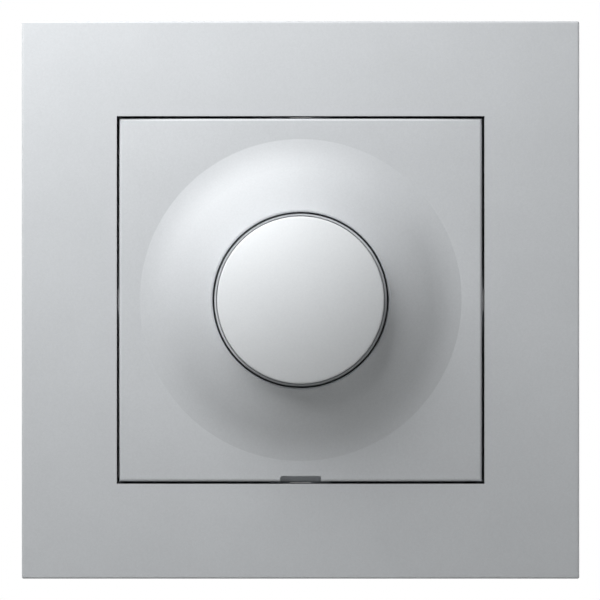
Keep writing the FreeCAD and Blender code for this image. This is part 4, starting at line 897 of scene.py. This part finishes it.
@dataclass
class Resistors:
    """Two film resistors: waisted lacquered bodies with colour bands, on bent tinned wires.

    The cap's round edge is given as steps in from its radius and from the body's end.
    """

    radius: float = 1.1
    waist: float = 0.92
    shoulder: float = 1.3
    slope: float = 0.3
    cap: tuple[tuple[float, float], ...] = ((0.35, 0.0), (0.08, 0.2), (0.0, 0.5))
    length: float = 6.0
    steps: int = 32
    wire: float = 0.3
    bend: float = 0.7
    bend_points: int = 6
    band_width: float = 0.5
    band_height: float = 0.02

    def level(self, room: Room) -> float:
        """The forward level of the bodies' axis."""
        return room.high.y - self.radius

    def slope_start(self) -> float:
        """How far from the body's middle its caps begin to slope down to the waist."""
        return self.length / 2 - self.shoulder + self.slope

    def bodies(self, room: Room, places: list[float]) -> None:
        """Turn both bodies as one piece.

        Args:
            room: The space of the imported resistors.
            places: Where the bodies stand across.
        """
        half = self.length / 2
        end = [(self.wire, half)] + [(self.radius - inwards, half - back) for inwards, back in self.cap]
        end += [(self.radius, self.slope_start()), (self.waist, half - self.shoulder)]
        rings = [Ring(radius, -along) for radius, along in end]
        rings += [Ring(radius, along) for radius, along in reversed(end)]
        shape = Shape("resistor_bodies")
        for across in places:
            shape.turn(rings, Axis.UP.at(across, self.level(room), room.middle.z), self.steps)
        shape.piece(RESISTOR, "fixed", "resistors", sharp=50.0)

    def wires(self, room: Room, places: list[float]) -> None:
        """Bend the four wires from the bodies' ends through the board.

        Args:
            room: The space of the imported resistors.
            places: Where the bodies stand across.
        """
        shape = Shape("resistor_wires")
        for across in places:
            for way in (-1.0, 1.0):
                start = room.middle.z + way * (self.length / 2 - self.bend)
                reach = (room.high.z - room.low.z) / 2 - self.wire
                corner = room.middle.z + way * (reach - self.bend)
                path = [Vector((across, -self.level(room), start))]
                for step in range(self.bend_points + 1):
                    angle = math.pi / 2 * step / self.bend_points
                    path.append(Vector((across, -(self.level(room) - self.bend * (1.0 - math.cos(angle))),
                                        corner + way * self.bend * math.sin(angle))))
                path.append(Vector((across, -room.low.y, room.middle.z + way * reach)))
                shape.wire(path, self.wire)
        shape.piece(TINNED, "fixed", sharp=60.0)

    def bands(self, room: Room, places: list[float]) -> None:
        """Lay the colour bands round the bodies, one piece for each colour.

        Args:
            room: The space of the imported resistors.
            places: Where the bodies stand across.
        """
        for finish, offset in BANDS:
            shape = Shape(finish.name)
            for across in places:
                low, high = offset - self.band_width / 2, offset + self.band_width / 2
                base = self.radius if abs(offset) > self.slope_start() else self.waist
                inner, outer = base - self.band_height, base + self.band_height
                rings = [Ring(inner, low), Ring(outer, low), Ring(outer, high), Ring(inner, high)]
                shape.turn(rings, Axis.UP.at(across, self.level(room), room.middle.z), self.steps, loop=True)
            shape.piece(finish, "fixed")

    def build(self) -> None:
        """Build the bodies, their wires and their bands."""
        room = Room.of("resistors")
        places = [room.low.x + self.radius, room.high.x - self.radius]
        self.bodies(room, places)
        self.wires(room, places)
        self.bands(room, places)


@dataclass
class SolderJoints:
    """Cones of solder round the wires behind the circuit board.

    The cone is given as radius and height, from the board to the wire.
    """

    cone: tuple[tuple[float, float], ...] = ((0.95, 0.0), (0.8075, 0.105), (0.5, 0.385), (0.33, 0.7))
    wire: float = 0.3
    steps: int = 24
    capacitor_pitches: tuple[tuple[str, float], ...] = (
        ("noise_capacitor", 8.75), ("timing_capacitor", 4.5))
    resistor_radius: float = 1.1

    def places(self) -> list[tuple[float, float]]:
        """Find where wires pass through the board.

        Returns:
            Their places across and up.
        """
        found = []
        for node, pitch in self.capacitor_pitches:
            room = Room.of(node)
            found += [(room.middle.x, room.middle.z + way * pitch / 2) for way in (-1, 1)]
        pair, diac = Room.of("resistors"), Room.of("diac")
        for room, across in ((pair, pair.low.x + self.resistor_radius),
                             (pair, pair.high.x - self.resistor_radius), (diac, diac.middle.x)):
            found += [(across, room.low.z + self.wire), (across, room.high.z - self.wire)]
        return sorted(found)

    def build(self) -> None:
        """Turn the joints as one piece."""
        board = Room.of("circuit_board")
        rings = [Ring(radius, height) for radius, height in self.cone]
        shape = Shape("solder_joints")
        for across, up in self.places():
            shape.turn(rings, Axis.BACK.at(across, board.low.y, up), self.steps)
        shape.piece(SOLDER, "fixed")


@dataclass
class PackedPieces:
    """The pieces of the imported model, which keep their meshes and get finishes by slot."""

    frame: dict[str, Any]

    def dress(self) -> None:
        """Put the finish of its material slot on each piece."""
        by_slot = {finish.slot: finish for finish in FINISHES}
        for part in self.frame["record"]["subparts"]:
            piece = self.frame["nodes"][part["node"]]
            finish = by_slot[part["material_slot"]]
            for place in piece.material_slots:
                place.material = finish.material()
            LOG.info("%s: %s", part["node"], finish.name)


@dataclass(frozen=True)
class Lamp:
    """A square soft lamp: its place, the point that it faces and its side in millimetres, and its power."""

    name: str
    place: Place
    aim: Place
    side: float
    watts: float

    def hang(self) -> None:
        """Add the lamp to the scene."""
        light = bpy.data.lights.new(self.name, "AREA")
        light.shape = "SQUARE"
        light.size = self.side * MM
        light.energy = self.watts
        lamp = bpy.data.objects.new(self.name, light)
        bpy.context.scene.collection.objects.link(lamp)
        lamp.location = Vector(self.place) * MM
        lamp.rotation_euler = (Vector(self.aim) * MM - lamp.location).to_track_quat("-Z", "Y").to_euler()
        lamp.visible_camera = False


@dataclass
class Studio:
    """The floor, the white surroundings and the soft lamps.

    The key lamp hangs close by, so that the light falls off from the cover's upper left corner to
    its lower right one. The two lamps behind the cover light its back and its edges.
    """

    floor_drop: float = 150.0
    floor_reach: float = 6000.0
    shadow_reach: float = 110.0
    white_reach: float = 240.0
    floor_tone: str = "#e6e6e4"
    floor_roughness: float = 0.8
    lamps: tuple[Lamp, ...] = (
        Lamp("key_upper_left", (-80.0, -103.0, 134.0), (0.0, -8.0, 0.0), 170.0, 0.55),
        Lamp("side_upper_right", (120.0, -130.0, 130.0), (0.0, -8.0, 0.0), 90.0, 0.035),
        Lamp("fill_back_left", (-260.0, 600.0, 110.0), (0.0, 10.0, 0.0), 300.0, 1.9),
        Lamp("fill_back_right", (570.0, 300.0, 80.0), (0.0, 10.0, 0.0), 300.0, 2.2))

    def floor(self) -> None:
        """A plain pale floor that looks white to the camera apart from the object's shadow."""
        mesh = bpy.data.meshes.new("studio_floor")
        build = bmesh.new()
        reach = self.floor_reach * MM
        corners = [build.verts.new((x, y, -self.floor_drop * MM)) for x, y in (
            (-reach, -reach), (reach, -reach), (reach, reach), (-reach, reach))]
        build.faces.new(corners)
        build.to_mesh(mesh)
        build.free()
        floor = bpy.data.objects.new("studio_floor", mesh)
        bpy.context.scene.collection.objects.link(floor)
        mesh.materials.append(self.floor_material())

    def floor_material(self) -> bpy.types.Material:
        """Pale paper that shows the object's shadow near it and is white to the camera further out.

        Returns:
            The floor's material.
        """
        material = bpy.data.materials.new("pale_studio_paper")
        material.use_nodes = True
        tree = material.node_tree
        paper = tree.nodes["Principled BSDF"]
        paper.inputs["Base Color"].default_value = srgb(self.floor_tone)
        paper.inputs["Roughness"].default_value = self.floor_roughness
        spot = add_node(tree, "TexCoord").outputs["Object"]
        reach = add_node(tree, "VectorMath", {0: spot, 1: (1.0, 1.0, 0.0)}, operation="MULTIPLY")
        distance = add_node(tree, "VectorMath", {0: reach.outputs["Vector"]}, operation="LENGTH")
        far = add_node(tree, "MapRange", {
            "Value": distance.outputs["Value"], "From Min": self.shadow_reach * MM,
            "From Max": self.white_reach * MM}, interpolation_type="SMOOTHSTEP")
        seen = self.background_rays(tree)
        factor = add_node(tree, "Math", {0: far.outputs["Result"], 1: seen}, operation="MULTIPLY")
        white = add_node(tree, "Emission", {"Color": WHITE, "Strength": 1.0})
        mix = add_node(tree, "MixShader", {
            0: factor.outputs["Value"], 1: paper.outputs["BSDF"], 2: white.outputs["Emission"]})
        tree.links.new(mix.outputs["Shader"], tree.nodes["Material Output"].inputs["Surface"])
        return material

    def background_rays(self, tree: Tree) -> Socket:
        """1 for rays that show the background: from the camera, mirrored or passed through.

        Args:
            tree: The node tree of the floor or the world.

        Returns:
            The output that is 1 or 0.
        """
        path = add_node(tree, "LightPath")
        seen = path.outputs["Is Camera Ray"]
        for name in ("Is Glossy Ray", "Is Transmission Ray"):
            either = add_node(tree, "Math", {0: seen, 1: path.outputs[name]}, operation="MAXIMUM")
            seen = either.outputs["Value"]
        return seen

    def surroundings(self) -> None:
        """A world that is white to the camera and in reflections, and gives no other light."""
        world = bpy.data.worlds.new("studio_world")
        bpy.context.scene.world = world
        world.use_nodes = True
        tree = world.node_tree
        tree.nodes.clear()
        white = add_node(tree, "Background", {"Color": WHITE, "Strength": self.background_rays(tree)})
        add_node(tree, "OutputWorld", {"Surface": white.outputs["Background"]})

    def build(self) -> None:
        """Build the floor, the surroundings and the lamps."""
        self.floor()
        self.surroundings()
        for lamp in self.lamps:
            lamp.hang()


@dataclass
class Viewpoint:
    """The camera straight in front of the cover."""

    distance: float = 800.0
    view_width: float = 90.03
    cover_level: float = 10.0
    aside: float = -0.09
    sensor: float = 36.0
    sight: float = 20000.0

    def build(self) -> None:
        """Create the camera and make it the scene's own."""
        data = bpy.data.cameras.new("front_camera")
        data.sensor_width = self.sensor
        data.lens = self.sensor * self.distance / self.view_width
        data.clip_end = self.sight * MM
        camera = bpy.data.objects.new("front_camera", data)
        bpy.context.scene.collection.objects.link(camera)
        camera.location = (self.aside * MM, -(self.distance + self.cover_level) * MM, 0.0)
        camera.rotation_euler = (math.pi / 2, 0.0, 0.0)
        bpy.context.scene.camera = camera


def main() -> None:
    """Load the model and build its finishes, fine pieces, light and camera."""
    logging.basicConfig(level=logging.INFO, format="%(message)s")
    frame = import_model()
    bpy.context.scene.view_settings.view_transform = "Standard"
    Viewpoint().build()
    Studio().build()
    PackedPieces(frame).dress()
    for assembly in (KnobFace, Screws, ControlBush, ChokeWinding, SliderSpring, Resistors, SolderJoints):
        assembly().build()


if __name__ == "__main__":
    main()
